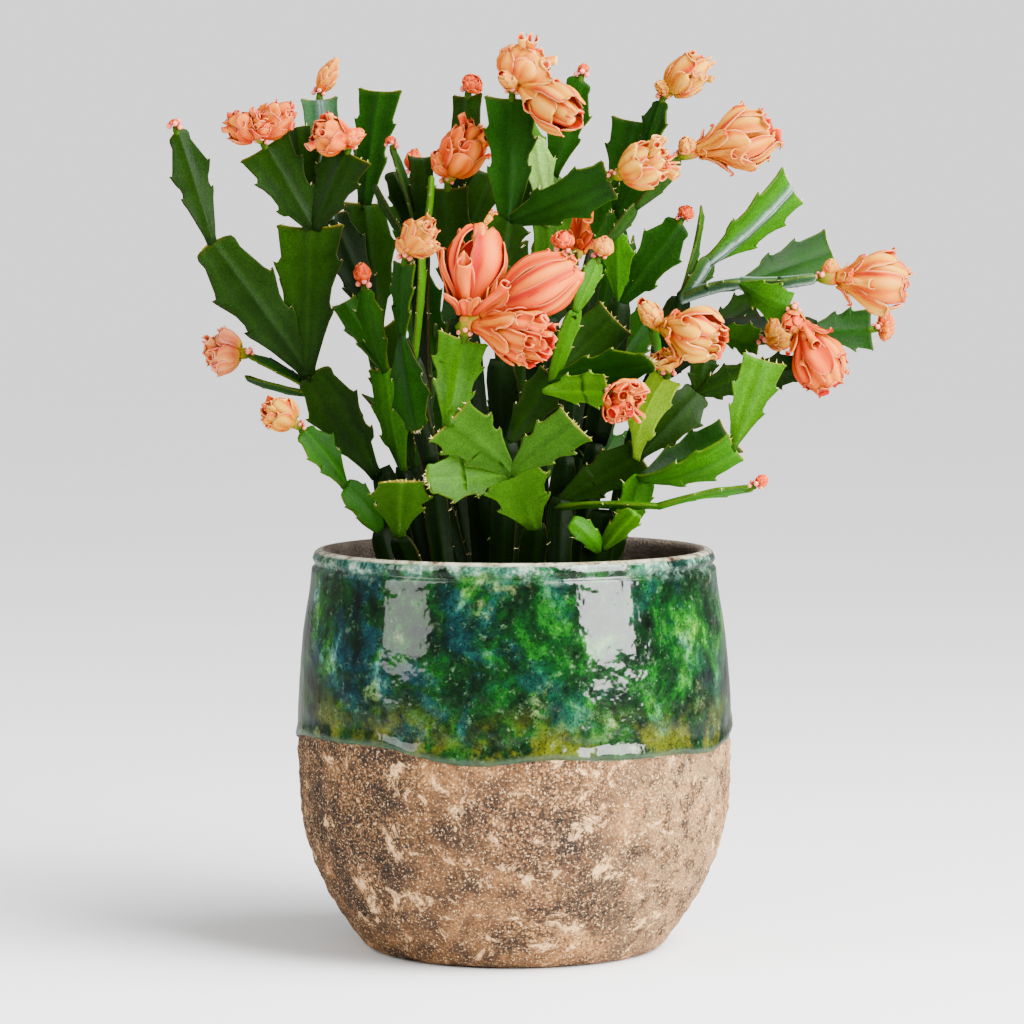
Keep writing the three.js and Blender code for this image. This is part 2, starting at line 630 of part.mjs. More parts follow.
// A flower is whorls of petals set one inside the next. Each row below is a ring round the
// flower's axis with a point for every petal and one for every gap between two: how far along
// and how far out the petals' points lie, then the gaps', as shares of the length and width. The
// last value tells which of the two sets of petals the row belongs to. A row of petal tips is
// followed by the row down inside them, from which the next whorl rises. The first rows are the
// green neck, whose radius is in millimetres.
const NECK = 2;
const LONG_ROWS = [
  [0.00, 1.7, 0.00, 1.7, NECK], [0.08, 2.8, 0.08, 2.8, NECK], [0.15, 2.3, 0.15, 2.3, NECK],
  [0.60, 0.48, 0.44, 0.37, 0], [0.50, 0.38, 0.44, 0.34, 0],
  [0.88, 0.44, 0.70, 0.42, 1], [0.75, 0.35, 0.69, 0.35, 1],
  [1.00, 0.19, 0.88, 0.29, 0], [0.86, 0.11, 0.82, 0.13, 0],
];
const FULL_ROWS = [
  [0.00, 1.6, 0.00, 1.6, NECK], [0.14, 2.4, 0.14, 2.4, NECK],
  [0.58, 0.51, 0.42, 0.42, 0], [0.49, 0.41, 0.44, 0.38, 0],
  [0.92, 0.41, 0.74, 0.44, 1], [0.78, 0.33, 0.72, 0.34, 1],
  [0.98, 0.16, 0.90, 0.18, 0],
];
const BUD_ROWS = [
  [0.00, 1.2, 0.00, 1.2, NECK],
  [0.58, 0.52, 0.40, 0.44, 0], [0.98, 0.17, 0.78, 0.41, 1],
];
const FLOWERS = [
  { rows: LONG_ROWS, petals: 5, unevenness: 0.07 },
  { rows: FULL_ROWS, petals: 4, unevenness: 0.09 },
  { rows: BUD_ROWS, petals: 3, unevenness: 0.03 },
];

function flowerSolid(start, row, seed) {
  const [across, up, back, width, kind] = row;
  const { rows, petals, unevenness } = FLOWERS[kind];
  const out = place(across, up, back).sub(start);
  const length = out.length();
  out.normalize();
  const [e1, e2] = frameAcross(out);
  const rings = rows.map(([tipShare, tipReach, gapShare, gapReach, whorl]) => {
    const unit = whorl === NECK ? 1 : width;
    return Array.from({ length: 2 * petals }, (_, k) => {
      const isTip = k % 2 === whorl;
      const uneven = whorl === NECK ? 0 : unevenness * scatter(seed + k, whorl);
      const share = (isTip ? tipShare : gapShare) * (1 + 0.6 * uneven);
      const reach = (isTip ? tipReach : gapReach) * unit * (1 + uneven);
      const angle = seed + (Math.PI * k) / petals + 0.5 * uneven;
      return start.clone().addScaledVector(out, share * length)
        .addScaledVector(e1, reach * Math.cos(angle))
        .addScaledVector(e2, reach * Math.sin(angle));
    });
  });
  return skin(rings, false);
}

// The pot: a turned body whose glaze ends in a wavy raised lip.
function glazeEdge(angle) {
  return GLAZE_EDGE + 2.2 * Math.sin(2 * angle + 0.6) + 1.5 * Math.sin(5 * angle + 1.1)
    + 0.9 * Math.sin(9 * angle + 2.0);
}

function potProfile(angle) {
  const edge = glazeEdge(angle);
  const rim = POT_RADIUS - 6.5;
  return [
    [0, 0], [60.5, 0], [63.6, 2.2], [69.0, 10], [76.4, 21], [83.0, 35], [87.6, 50],
    [89.7, 66], [POT_RADIUS, edge - 0.9], [POT_RADIUS + GLAZE_LIP, edge + 1.1],
    [POT_RADIUS + 0.1, edge + 13], [88.0, 130], [84.9, 150],
    [84.0, POT_HEIGHT - 7.6], [rim - 0.9, POT_HEIGHT - 6.2], [rim + 0.2, POT_HEIGHT - 4.6],
    [rim - 1.2, POT_HEIGHT - 0.6], [rim - 3.4, POT_HEIGHT], [rim - 6.6, POT_HEIGHT - 0.6],
    [rim - WALL, POT_HEIGHT - 3], [77.4, 136], [81.2, 96], [78.0, 44], [57.0, FLOOR],
    [0, FLOOR],
  ];
}

// Turns a profile that starts and ends on the axis; the profile may change with the angle.
function turned(profile, segments) {
  const rows = profile(0).length;
  const points = [[0, 0, profile(0)[0][1]]];
  const triangles = [];
  for (let k = 0; k < segments; k += 1) {
    const angle = (2 * Math.PI * k) / segments;
    profile(angle).slice(1, -1).forEach(([radius, height]) => {
      points.push([radius * Math.cos(angle), radius * Math.sin(angle), height]);
    });
  }
  points.push([0, 0, profile(0)[rows - 1][1]]);
  const step = rows - 2;
  const last = points.length - 1;
  for (let k = 0; k < segments; k += 1) {
    const here = 1 + k * step;
    const next = 1 + ((k + 1) % segments) * step;
    triangles.push([0, next, here]);
    for (let i = 0; i + 1 < step; i += 1) {
      triangles.push([here + i, next + i, next + i + 1], [here + i, next + i + 1, here + i + 1]);
    }
    triangles.push([here + step - 1, next + step - 1, last]);
  }
  return toSolid(points, triangles);
}

// The soil fills the pot to just under the rim, with a low uneven dome.
function soilProfile(angle) {
  const lump = (ring) => 0.7 * scatter(ring, Math.round(angle * 100));
  const dome = (radius) => SOIL_TOP + SOIL_DOME * (1 - (radius / 77) ** 2);
  return [
    [0, FLOOR + CLEARANCE], [56.4, FLOOR + CLEARANCE], [77.2, 44.2], [80.4, 96],
    [76.7, 136], [75.4, SOIL_TOP - 1.2], [73.4, SOIL_TOP + 0.4 * lump(1)],
    [54, dome(54) + lump(2)], [26, dome(26) + lump(3)], [0, dome(0)],
  ];
}

const plant = new THREE.Group();
plant.name = 'potted_christmas_cactus';

plant.add(toMesh('pot', turned(potProfile, POT_SEGMENTS), material('pot', 0.35)));

const holeBottom = SOIL_TOP - ROOT_DEPTH - CLEARANCE;
const holes = Object.values(STEMS).map(([, joints]) => skin(
  footRings(joints[0], ROOT_RADIUS + 1.2 * CLEARANCE, holeBottom, SOIL_TOP + 20), false,
));
const soil = holes.reduce((whole, hole) => whole.subtract(hole), turned(soilProfile, 24));
plant.add(toMesh('soil', soil, material('soil', 0.95)));

Object.entries(STEMS).forEach(([name, [colour]], s) => {
  plant.add(toMesh(name, stemSolid(name, s * 20), material(colour, 0.45)));
});

Object.entries(BLOOMS).forEach(([name, bloom], b) => {
  const { start, out } = bloomAxis(bloom);
  const fork = start.clone().addScaledVector(out, BUNCH_FORK);
  const flowers = bloom[3].map((row, k) => flowerSolid(k ? fork : start, row, 1.7 * b + 0.9 * k));
  plant.add(toMesh(name, join(flowers), material(bloom[2], 0.4)));
});

export default plant;
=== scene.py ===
# %% [markdown]
# # A potted christmas cactus
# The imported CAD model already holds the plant: where each leaf pad, flower and rim lies, at its
# real size. This lesson keeps every place and gives each piece its living surface. The pads get
# toothed edges, ribs and bristles, the flowers get waxy petals, and the pot gets its glaze.
# Lengths are in millimetres until a mesh is made, as they are in the CAD source.

import bpy
import numpy as np
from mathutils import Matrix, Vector


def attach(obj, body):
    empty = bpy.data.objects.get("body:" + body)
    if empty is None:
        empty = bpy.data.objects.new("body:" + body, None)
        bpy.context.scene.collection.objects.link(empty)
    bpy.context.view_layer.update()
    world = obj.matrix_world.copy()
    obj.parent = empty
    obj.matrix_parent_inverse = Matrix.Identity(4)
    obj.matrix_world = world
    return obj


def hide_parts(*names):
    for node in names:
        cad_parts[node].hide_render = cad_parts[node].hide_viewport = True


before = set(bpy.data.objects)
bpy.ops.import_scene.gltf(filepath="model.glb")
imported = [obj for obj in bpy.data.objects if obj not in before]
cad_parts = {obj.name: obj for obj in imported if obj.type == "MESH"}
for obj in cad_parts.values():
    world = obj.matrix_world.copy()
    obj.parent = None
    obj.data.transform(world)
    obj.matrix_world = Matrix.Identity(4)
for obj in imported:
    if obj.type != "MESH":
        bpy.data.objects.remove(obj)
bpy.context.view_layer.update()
MM = 0.001

# %% [markdown]
# ## The camera
# The photograph was taken from a little above the rim with a long lens, so the pot's sides stay
# nearly parallel. A lens is worked out from how wide the view is at the object: focal length over
# sensor width equals distance over view width.

# %% Camera
EYE_DISTANCE = 1700.0
EYE_HEIGHT = 297.0
AIM = (-0.8, 0.0, 181.0)
VIEW_WIDTH = 426.7
SENSOR = 36.0


def put(name, data):
    """A new object in the scene, made of the given mesh, lamp or camera."""
    made = bpy.data.objects.new(name, data)
    bpy.context.scene.collection.objects.link(made)
    return made


def make_camera():
    """Focal length = sensor width x distance / width of the view where the object stands."""
    eye = Vector((AIM[0], -EYE_DISTANCE, EYE_HEIGHT))
    sight = Vector(AIM) - eye
    data = bpy.data.cameras.new("photo_camera")
    data.sensor_width = SENSOR
    data.lens = SENSOR * sight.length / VIEW_WIDTH
    camera = put("photo_camera", data)
    camera.location = eye * MM
    camera.rotation_euler = sight.to_track_quat("-Z", "Y").to_euler()
    bpy.context.scene.camera = camera
    return data.lens


print("lens, mm:", round(make_camera(), 1))

# %% [markdown]
# ## The plan of the plant
# A christmas cactus is a chain of flat stem joints. Each joint was read off the photograph as two
# points, its foot and its tip, given as across, up and back: where it shows on the upright plane
# through the pot's axis, and how far behind that plane it lies. The rest of the row is its width,
# its turn about its own length, its further twist, its bow and its kind. These are the same
# rows as in the CAD source, so every finished pad lies on its CAD solid. The notes after a row
# say how that pad looks: its tone, how wide its tip is, how full its foot is, and its rib.

# %% Stems
OLD, PAD, SLIM = "old", "pad", "slim"

# foot: across, up, back; tip: across, up, back; width, turn, twist, bow, kind, notes
STEM_PLAN = """
stem_low_left bright
-48 147 -15 -55.8 173.7 -19 10 10 0 1 old
-55.8 173.7 -19 -70.4 191.7 -25 15 35 10 2 slim tone=leafy
-70.4 191.7 -25 -87.9 214.6 -28 17 42 0 2 pad tone=leafy
stem_far_left dark
-42 147 2 -55 199.6 -3 11 0 0 1 old
-58 197 -5 -84 238.8 -10 25 -8 0 2 pad tip=.8
-86 239 -10 -125.4 292.9 -24 26 5 0 3 pad tip=.8 fill=.85
-125.4 293 -24 -139.6 338.8 -30 18 20 0 1 pad tip=.62 fill=.8
-86 239 -11 -83.8 300 -14 28 -6 0 3 pad tip=1.18 fill=.8
-83.8 299 -14 -103.3 332.9 -19 23 8 0 2 pad tip=1.22 fill=.8
-82.5 299 -15 -68.8 330.8 -21 21 -15 0 1 pad tip=1.25
-83 298 -12 -89.2 340.8 -2 18 -20 0 1 pad
-84 232 -8 -108.8 245.8 4 10 68 0 1 slim tone=mid
-83 230 -7 -111.2 237 14 9 -70 0 1 slim tone=mid
-57.6 196.4 -4.4 -64 222 32 22 -82 0 1 pad
-85 236.5 -9.6 -94 272 22 22 80 0 1 pad
stem_front_left matte
-38 147 -32 -48 171 -43 10 -10 0 1 old
-48 171 -43 -46.5 194 -70 24 5 0 -3 pad tip=.9
stem_left_inner bright
-36 147 14 -46 199 10 10 0 0 0 old
-46 198 10 -53 241 3 16 -20 0 2 pad
-53 240 3 -61.7 273.7 -8 14 -30 0 2 pad tone=leafy tip=.7
-54 240 3 -71 268.5 3 13 30 0 1 pad tone=leafy
stem_left_back dark
-28 147 30 -42 200 40 11 0 0 0 old
-42 199 40 -56 258 42 18 -20 0 0 pad
-56 257 42 -62 309.5 44 24 0 0 2 pad
-57 257 42 -76 304.5 32 20 20 0 2 pad tone=shade
-62 309 44 -55.4 356 48 17 -12 0 1 pad tone=mid tip=1.25 fill=.6
-76 303.5 32 -80.4 352.5 36 18 10 0 1 pad tone=silver tip=1.05 fill=.7 rib=silver
-57 254 42 -68 286 72 22 75 0 1 pad
-43 199 40 -56 228 70 22 60 0 2 pad
-62 307 44 -66 336 74 20 80 0 1 pad
stem_left_slim bright
-20 147 -10 -34 195 -15 10 0 0 0 old
-34 194 -15 -41.7 244.6 -19 9 10 0 0 old
-41.7 244 -19 -38.4 291.7 -20 11 78 0 1 slim tone=lime
-38.4 291 -20 -34.2 320.8 -20 11 84 0 1 slim tone=lime
stem_left_front mid
-28 147 -25 -34 200 -32 10 5 0 0 old
-34 199 -32 -46.7 252.5 -31 9 -10 0 0 old
-46.7 254 -33 -40 215.4 -42 17 10 0 3 pad tip=.7
-46.7 251 -31 -45.4 284.6 -34 12 -35 0 1 pad
stem_left_tall dark
-22 147 12 -36 215 4 10 0 0 0 old
-36 214 4 -37.5 292 6 10 -55 10 2 old
-37.5 291 6 -38.7 328.7 6 12 30 0 1 pad
-38 289 7 -50.6 322 13 13 30 0 1 pad
-38 287 6 -50 331 5 10 74 0 1 slim tone=grey
-39 286 8 -58 317 11 10 -72 0 1 slim tone=grey
-36 213 4 -36 246 30 19 84 0 1 pad
stem_centre_left dark
-12 147 2 -16 210 0 11 0 0 0 old
-16 209 0 -22 262 -4 14 15 0 1 old
-22 261 -4 -27.5 316 -8 19 -10 0 1 pad
-23 292 -4 -10.5 322 -6 17 20 0 1 pad
-22 290 -2 -19 354 4 15 -15 0 1 pad fill=.7
-16 208 0 -19 240 30 20 86 0 1 pad
stem_centre dark
0 147 -6 -2 200 -14 11 0 0 0 old
-2 199 -14 -6 245 -22 13 -10 0 0 old
-6 244 -22 -6 284 -27 16 10 0 0 pad
-6 283 -27 -2.5 304 -26 20 0 0 0 pad tone=dark
-2.5 302 -26 -.8 352.9 -27 22 0 0 1 pad tone=mid tip=1.2 fill=.6
-1.5 302 -26 39.6 319.6 -33 23 12 0 2 pad tone=mid fill=.75
stem_front matte
6 147 -29 8.7 176 -41 11 0 0 0 old
8.7 174 -41 -1.2 199 -62 28 0 0 -2 pad
-1.2 197.5 -62 -27 219.2 -79 26 -8 0 -3 pad
-1.2 197.5 -62 25.8 217.9 -77 21 14 0 -2 pad
-3 196.5 -61 -36.3 194.6 -72 20 0 20 -2 pad
-27 217.9 -79 -20.8 253.3 -74 21 8 0 -3 pad tone=lime tip=1.15 fill=.8
stem_centre_back matte
8 147 18 10 205 22 10 0 0 0 old
10 204 22 13 262 24 15 10 0 0 old
13 261 24 16 322 28 18 5 0 0 pad
16 321 28 27.5 360.4 34 18 -10 0 1 pad tone=mid fill=.7
14 300 26 9 335 18 14 15 0 1 pad tone=mist
13 260 25 8 292 58 21 100 0 1 pad
15 318 28 2 344 50 19 50 0 1 pad
stem_right_back mid
20 147 30 28 205 36 10 0 0 0 old
28 204 36 36 262 38 15 0 0 0 old
36 261 38 43 305 38 17 10 0 0 pad
43 304 38 49.2 343.7 42 19 -8 0 1 pad tip=1.1
43.2 303 38 54 326 33 14 -20 0 0 slim fill=.7
54 325 33 61.3 351.2 31 14 -35 0 1 pad fill=.6
36 260 38 50 292 66 22 70 0 1 pad
28 203 35.5 14 230 54 21 -60 0 1 pad
stem_right_slim bright
14 147 -2 22 205 -8 10 0 0 0 old
22 204 -8 27 250 -10 10 15 0 0 old
27 249 -10 33.7 290.4 -12 10 30 10 0 old
33.7 289.5 -12 50.4 308.3 -8 11 66 0 1 slim tone=grey
50.4 307.5 -8 67.9 327.5 -10 12 62 0 1 slim tone=grey
stem_right_inner bright
26 147 3 34 210 6 10 0 0 0 old
34 209 6 44 270 4 13 0 0 0 old
43.6 268 4 43.3 296.7 2 14 -10 0 1 pad
44 268 4 68.7 301.2 0 21 -5 0 2 pad tone=mid fill=.75
stem_right bright
38 147 2 48 200 8 10 0 0 0 old
48 199 8 60 240 10 11 0 0 0 old
60 239 10 69.2 270.8 3 12 10 0 0 old
69.2 270 3 81 286 4 13 50 0 1 slim tone=grey rib=silver
80.4 285 4 115 316.7 16 24 42 0 2 pad rib=silver
69.2 270 3 95 276.3 -7 11 70 0 -1 slim tone=silver rib=silver
94 276.2 -7 114.2 266.2 -15 17 30 -30 3 pad
94 276.2 -7 125.4 278.3 -11 11 72 0 1 slim tone=silver rib=silver
95 276.5 -6 132 289.2 20 20 -10 0 -1 pad tone=mid tip=1.15
60 239 10 57 258.5 -29 11 70 0 1 slim
60 239 10 84 256 12 12 15 0 -1 old
83 256 12 102 252 4 14 10 0 -1 pad
83 256 12 100 267 26 17 0 0 -1 pad tone=dark
83 256 13 125.4 257 28 13 0 0 -1 old
124 257 28 148.7 257 34 19 -5 0 -1 pad tone=mid tip=1.15
60 238 10 68 262 44 21 86 0 1 pad
69.2 269 3 78 305 34 20 80 0 1 pad
stem_middle dark
-6 147 -20 -2 211 -30 11 0 0 0 old
-2 210 -30 16.5 238 -32 18 0 0 -1 pad
16.5 237 -31 42 262 -28 25 12 0 -2 pad tone=dark
15 235 -31.5 57.5 243.7 -52 18 0 40 -2 pad tone=mid fill=.7
12.5 231.5 -31 39.5 231.5 -54 17 5 20 -2 pad tone=sunny
15.4 234.5 -31 25.4 265.4 -44 9 40 0 0 slim tone=lime
25.4 264.5 -44 34.6 285.4 -40 9 30 0 0 slim tone=lime
24.5 262 -43 20.4 288 -38 14 -20 0 0 pad
stem_right_mid dark
18 147 -18 19.5 187 -15 11 0 0 0 old
19.5 186 -15 52.5 205 -16 21 0 0 -1 pad
51 204 -17 63.7 237 -23 20 -40 0 4 pad tone=pale
52 204 -16 77 231 -5 21 -8 0 1 pad
76 230.5 -5 79.6 248 -4 13 10 0 0 pad
76 230.5 -5 97 239.6 -9 16 20 0 1 pad
96 239 -9 118 241 -11 17 10 0 1 pad
stem_right_front bright
30 147 -24 44 172 -30 10 0 0 0 old
44 171 -30 54 196 -34 14 0 0 0 slim
53 195 -34 90 213 -23 18 0 0 -2 pad tone=mid
53 195 -35 92 208.7 -49 17 40 0 5 pad
91 208 -49 104.2 244.6 -46 19 0 0 1 pad tone=lime tip=1.15
stem_low_right bright
33 147 -36 36.5 182 -43 13 0 0 0 old
19 183 -35 61 183.3 -53 13 78 0 -1 slim
60 183.3 -53 98.3 191.2 -62 14 72 0 -1 pad
37 166 -41 50.5 181 -54 11 20 0 -1 slim tone=lime
35 165 -41 23.5 177 -51 10 20 0 4 slim
stem_rear_left mid
-16 147 44 -26 196 56 11 180 0 0 old
-26 195 56 -32 241 70 18 180 0 0 pad
-32 240 70 -44 284 82 24 165 0 1 pad
-32 240 70 -16 280 86 22 205 0 1 pad
-44 283 82 -42 320 80 20 170 0 1 pad
-26 194 56 -42 216 88 24 160 0 2 pad
-27 196 56 -8 222 82 20 200 0 2 pad
stem_rear dark
4 147 50 2 200 66 11 180 0 0 old
2 199 66 4 246 84 19 180 0 0 pad
4 245 84 -4 292 98 25 175 0 1 pad
4 245 84 24 284 98 22 195 0 1 pad
-4 291 98 4 330 96 20 170 0 1 pad
2 198 66 -14 214 104 23 170 0 2 pad
3 199 66 20 206 102 22 190 0 2 pad
stem_rear_right mid
22 147 42 32 196 52 11 180 0 0 old
32 195 52 40 240 66 18 180 0 0 pad
40 239 66 36 286 74 23 195 0 1 pad
36 285 74 44 322 66 20 200 0 1 pad
40 239 66 58 266 88 22 150 0 1 pad
33 194 52 52 212 82 23 170 0 2 pad
"""


def read_plan(table):
    """A line that starts with a name opens a piece, and the lines below it are its rows.

    Words and numbers are kept in their order; notes, written key=value, come last as a dict.
    """
    plan = {}
    for line in table.strip().splitlines():
        words = line.split()
        notes = dict(word.split("=") for word in words if "=" in word)
        cells = [word if word[0].isalpha() else float(word) for word in words if "=" not in word]
        if words[0][0].isalpha():
            rows = []
            plan[words[0]] = (*cells[1:], notes, rows)
        else:
            rows.append((*cells, notes))
    return plan


STEMS = read_plan(STEM_PLAN)
print("stems:", len(STEMS), "joints:", sum(len(rows) for _, _, rows in STEMS.values()))

# %% [markdown]
# ## The plan of the flowers
# Each bloom or bunch grows from the tip of one joint, given by its stem and its number there. Its
# rows give where each flower's or bud's own tip shows, its width and its kind: a long double
# flower, a full crumpled one, or a bud. A look is a set of petal colours other than the slot's.

# %% Blooms
LONG, BUD = "long", "bud"

# piece, stem, joint, slot, notes; below it each tip: across, up, back; width, kind
BLOOM_PLAN = """
blooms_front stem_front 5 coral
-15 300.4 -66 26 long
27.5 284 -74 25 long
16 251 -88 19 full
blooms_crown stem_centre 4 coral look=peach
8 373 -22 23 full
27 343 -52 20 full
-6 363 -34 8 bud
blooms_centre_left stem_centre_left 2 peach look=coral
-14 343 -16 19 full
-33.5 331 -13 10 bud
bud_crown_left stem_centre_left 4 rose
-15.5 361 -1 9 bud
blooms_inner_left stem_left_front 3 peach
-34 304 -38 14 full
-48 295 -38 8 bud
-30.5 292 -42 8 bud
bud_left_inner stem_left_inner 2 rose
-63.6 285 -10 7 bud
blooms_left_top stem_far_left 5 coral look=glow
-119 346 -20 14 full
-103 345.5 -27 11 full
-91 350 -17 15 full
blooms_left_second stem_far_left 6 coral look=glow
-84 341 -29 16 full
-61.5 339 -24 8 bud
bud_left_tall stem_left_back 5 peach
-73 369.5 38 8 bud
bloom_left_side stem_far_left 8 rose look=blush
-129 248.7 6 18 full
bloom_low_left stem_low_left 2 amber
-104 227 -32 14 full
bud_far_left stem_far_left 3 rose
-141 344 -31 4.5 bud
bud_left_slim stem_left_tall 4 rose
-51.5 337 5 4.5 bud
bloom_right_upper stem_centre 5 peach look=cream
65 328.5 -42 19 full
bud_centre_back stem_centre_back 3 rose
29.5 367 35 4.5 bud
bloom_right_top stem_right_back 5 peach look=amber
80.5 369.5 28 17 full
58.5 359 27 6.5 bud
bloom_right_high stem_right_slim 4 peach
110 339.6 -17 24 long
70 336.5 -14 7.5 bud
bud_right_slim stem_middle 6 peach
38.7 295.5 -42 9 bud
bud_middle stem_middle 7 rose
20.4 298 -40 9.5 bud
bud_right_inner stem_right_inner 3 rose
73 308 -2 7 bud
bloom_far_right stem_right 7 peach
165.8 275 -15 25 long
132 286 -6 8 bud
bloom_hanging stem_right 6 coral
133 231.5 -22 22 long
113.5 257.5 -24 10 bud
bloom_right_middle stem_right 11 amber
117.9 256 1 11 bud
108 262.5 -2 7 bud
buds_right_end stem_right 14 coral
158 256.5 36 9 bud
154.5 265 36 7 bud
bloom_right_front stem_right 9 peach look=amber
88 252.5 -46 23 long
52 269.5 -40 9 bud
bloom_right_low stem_right_mid 2 cream
62.5 249 -27 12 full
bloom_middle_low stem_middle 4 coral
49 225 -64 19 full
buds_low_right stem_low_right 2 rose
105.5 196 -63 5 bud
bloom_rear_left stem_rear_left 3 peach
-15 307 84 22 long
bloom_rear stem_rear 3 coral
34 306 110 22 long
20 297 108 8 bud
bloom_rear_low stem_rear 6 peach look=blush
29 212 120 17 full
bud_rear_left stem_rear_left 4 rose
-41 332 81 8 bud
buds_rear_right stem_rear_right 3 coral
50 335 66 12 full
40 334 68 7 bud
"""

BLOOMS = read_plan(BLOOM_PLAN)
print("bunches:", len(BLOOMS), "flowers and buds:", sum(len(b[-1]) for b in BLOOMS.values()))

# %% [markdown]
# ## From the plan to space
# A point of the plan lies on a sight line of the photograph's eye. Following that line to the
# given depth finds the point itself. A joint's own directions come from its length and from
# which way its face looks.

# %% Places and directions
def unit(vectors):
    """Each vector over its length."""
    length = np.linalg.norm(vectors, axis=-1, keepdims=True)
    return vectors / np.maximum(length, 1e-9)


def place(points):
    """The sight line through (across, up) on the plane y = 0, followed to the depth y = back."""
    across, up, back = np.moveaxis(np.asarray(points, float), -1, 0)
    reach = (EYE_DISTANCE + back) / EYE_DISTANCE
    return np.stack([across * reach, back, EYE_HEIGHT + (up - EYE_HEIGHT) * reach], axis=-1)


def joint_frame(joint, share):
    """Middle line and directions of a joint at each share of its length.

    The middle runs straight from foot to tip, bowed along the face by a parabola. The face looks
    to the front, turned about the length by turn + twist x share.
    """
    share = np.asarray(share, float)[..., None]
    foot, tip = place([joint[0:3], joint[3:6]])
    length = np.linalg.norm(tip - foot)
    along = (tip - foot) / length
    facing = np.array([0.0, -1.0, 0.0]) + along * along[1]
    if np.linalg.norm(facing) < 0.2:
        facing = np.array([0.0, 0.0, 1.0]) - along * along[2]
    facing = unit(facing)
    turn, twist, bow = joint[7:10]

    def turned(s):
        angle = np.radians(turn + twist * s)
        return np.cos(angle) * facing + np.sin(angle) * np.cross(along, facing)

    normal = turned(share)
    middle = foot + along * share * length + turned(0.5) * bow * 4 * share * (1 - share)
    return middle, normal, np.cross(along, normal), along, length


print("first tip:", joint_frame(STEMS["stem_low_left"][-1][0], 1.0)[0].round(1))

# %% [markdown]
# ## Closed blades from one surface
# Pads and petals are thin closed bodies. Modelling both faces by hand would be double work, and a
# Solidify modifier gives square edges. Here one middle surface is worked out on a grid, and both
# faces are pushed off it along its normals. They share the border points, where the thickness is
# nothing, so the edge is round and the body is closed.

# %% Blade builder
def blade(middle, half, uv, front_colour, back_colour):
    """Front = middle + normal x half thickness, back = middle - normal x half thickness.

    The normal is the cross product of the grid's two slopes. Returns points, faces, uv, colours.
    """
    rows, cols = middle.shape[:2]
    normal = unit(np.cross(np.gradient(middle, axis=1), np.gradient(middle, axis=0)))
    inner = np.zeros((rows, cols), bool)
    inner[1:-1, 1:-1] = True
    offset = normal * (half * inner)[..., None]
    points = np.concatenate([(middle + offset).reshape(-1, 3), (middle - offset)[inner]])
    front = np.arange(rows * cols).reshape(rows, cols)
    back = front.copy()
    back[inner] = rows * cols + np.arange(inner.sum())
    faces = np.concatenate([grid_quads(front), grid_quads(back)[:, ::-1]])
    uvs = np.concatenate([uv.reshape(-1, 2), uv[inner]])
    colours = np.concatenate([front_colour.reshape(-1, 3), back_colour[inner]])
    return points, faces, uvs, colours


def grid_quads(index):
    """The four corners of every cell of a grid of point numbers."""
    return np.stack([index[..., :-1, :-1], index[..., :-1, 1:], index[..., 1:, 1:],
                     index[..., 1:, :-1]], axis=-1).reshape(-1, 4)


# %% Rings and tubes
def closed(index):
    """A grid of point numbers whose first column comes again after its last."""
    return np.concatenate([index, index[..., :1]], axis=-1)


def fan(ring, hub):
    """Triangles from each side of a ring to one hub point; their fourth corner is -1."""
    return np.stack([ring, np.roll(ring, -1), np.full(len(ring), hub), np.full(len(ring), -1)],
                    axis=-1)


def tube(rings, colour, hubs=None):
    """Skins rings of points into a closed body, with a fan of triangles over each end.

    The fans meet in two hub points, which are the middles of the end rings if none are given.
    """
    index = np.arange(rings.shape[0] * rings.shape[1]).reshape(rings.shape[:2])
    if hubs is None:
        hubs = rings[[0, -1]].mean(axis=1)
    points = np.concatenate([rings.reshape(-1, 3), hubs])
    faces = np.concatenate([grid_quads(closed(index)), fan(index[0, ::-1], index.size),
                            fan(index[-1], index.size + 1)])
    colour = np.broadcast_to(colour, (index.size, 3))
    return points, faces, np.zeros((len(points), 2)), colour[np.r_[:index.size, 0, -1]]


# %% Curves, colours and ripples
def smooth(value, low, high):
    """0 below low, 1 above high, and an S curve 3t^2 - 2t^3 between."""
    t = np.clip((value - low) / (high - low), 0, 1)
    return t * t * (3 - 2 * t)


def mix(a, b, share):
    """a x (1 - share) + b x share, for whole grids of colours."""
    return a + (b - a) * np.asarray(share)[..., None]


def srgb(code):
    """A six-figure colour code as linear light; a list of codes gives one row for each."""
    if not isinstance(code, str):
        return np.array([srgb(one) for one in code])
    c = np.array([int(code[i:i + 2], 16) for i in (0, 2, 4)]) / 255
    return np.where(c < 0.04045, c / 12.92, ((c + 0.055) / 1.055) ** 2.4)


def ripple(rng, low, high, along, shift):
    """A sine along the grid with a drawn wave number and start, moved sideways by shift."""
    return np.sin(rng.uniform(low, high) * along + rng.uniform(0, 6.28) + shift)


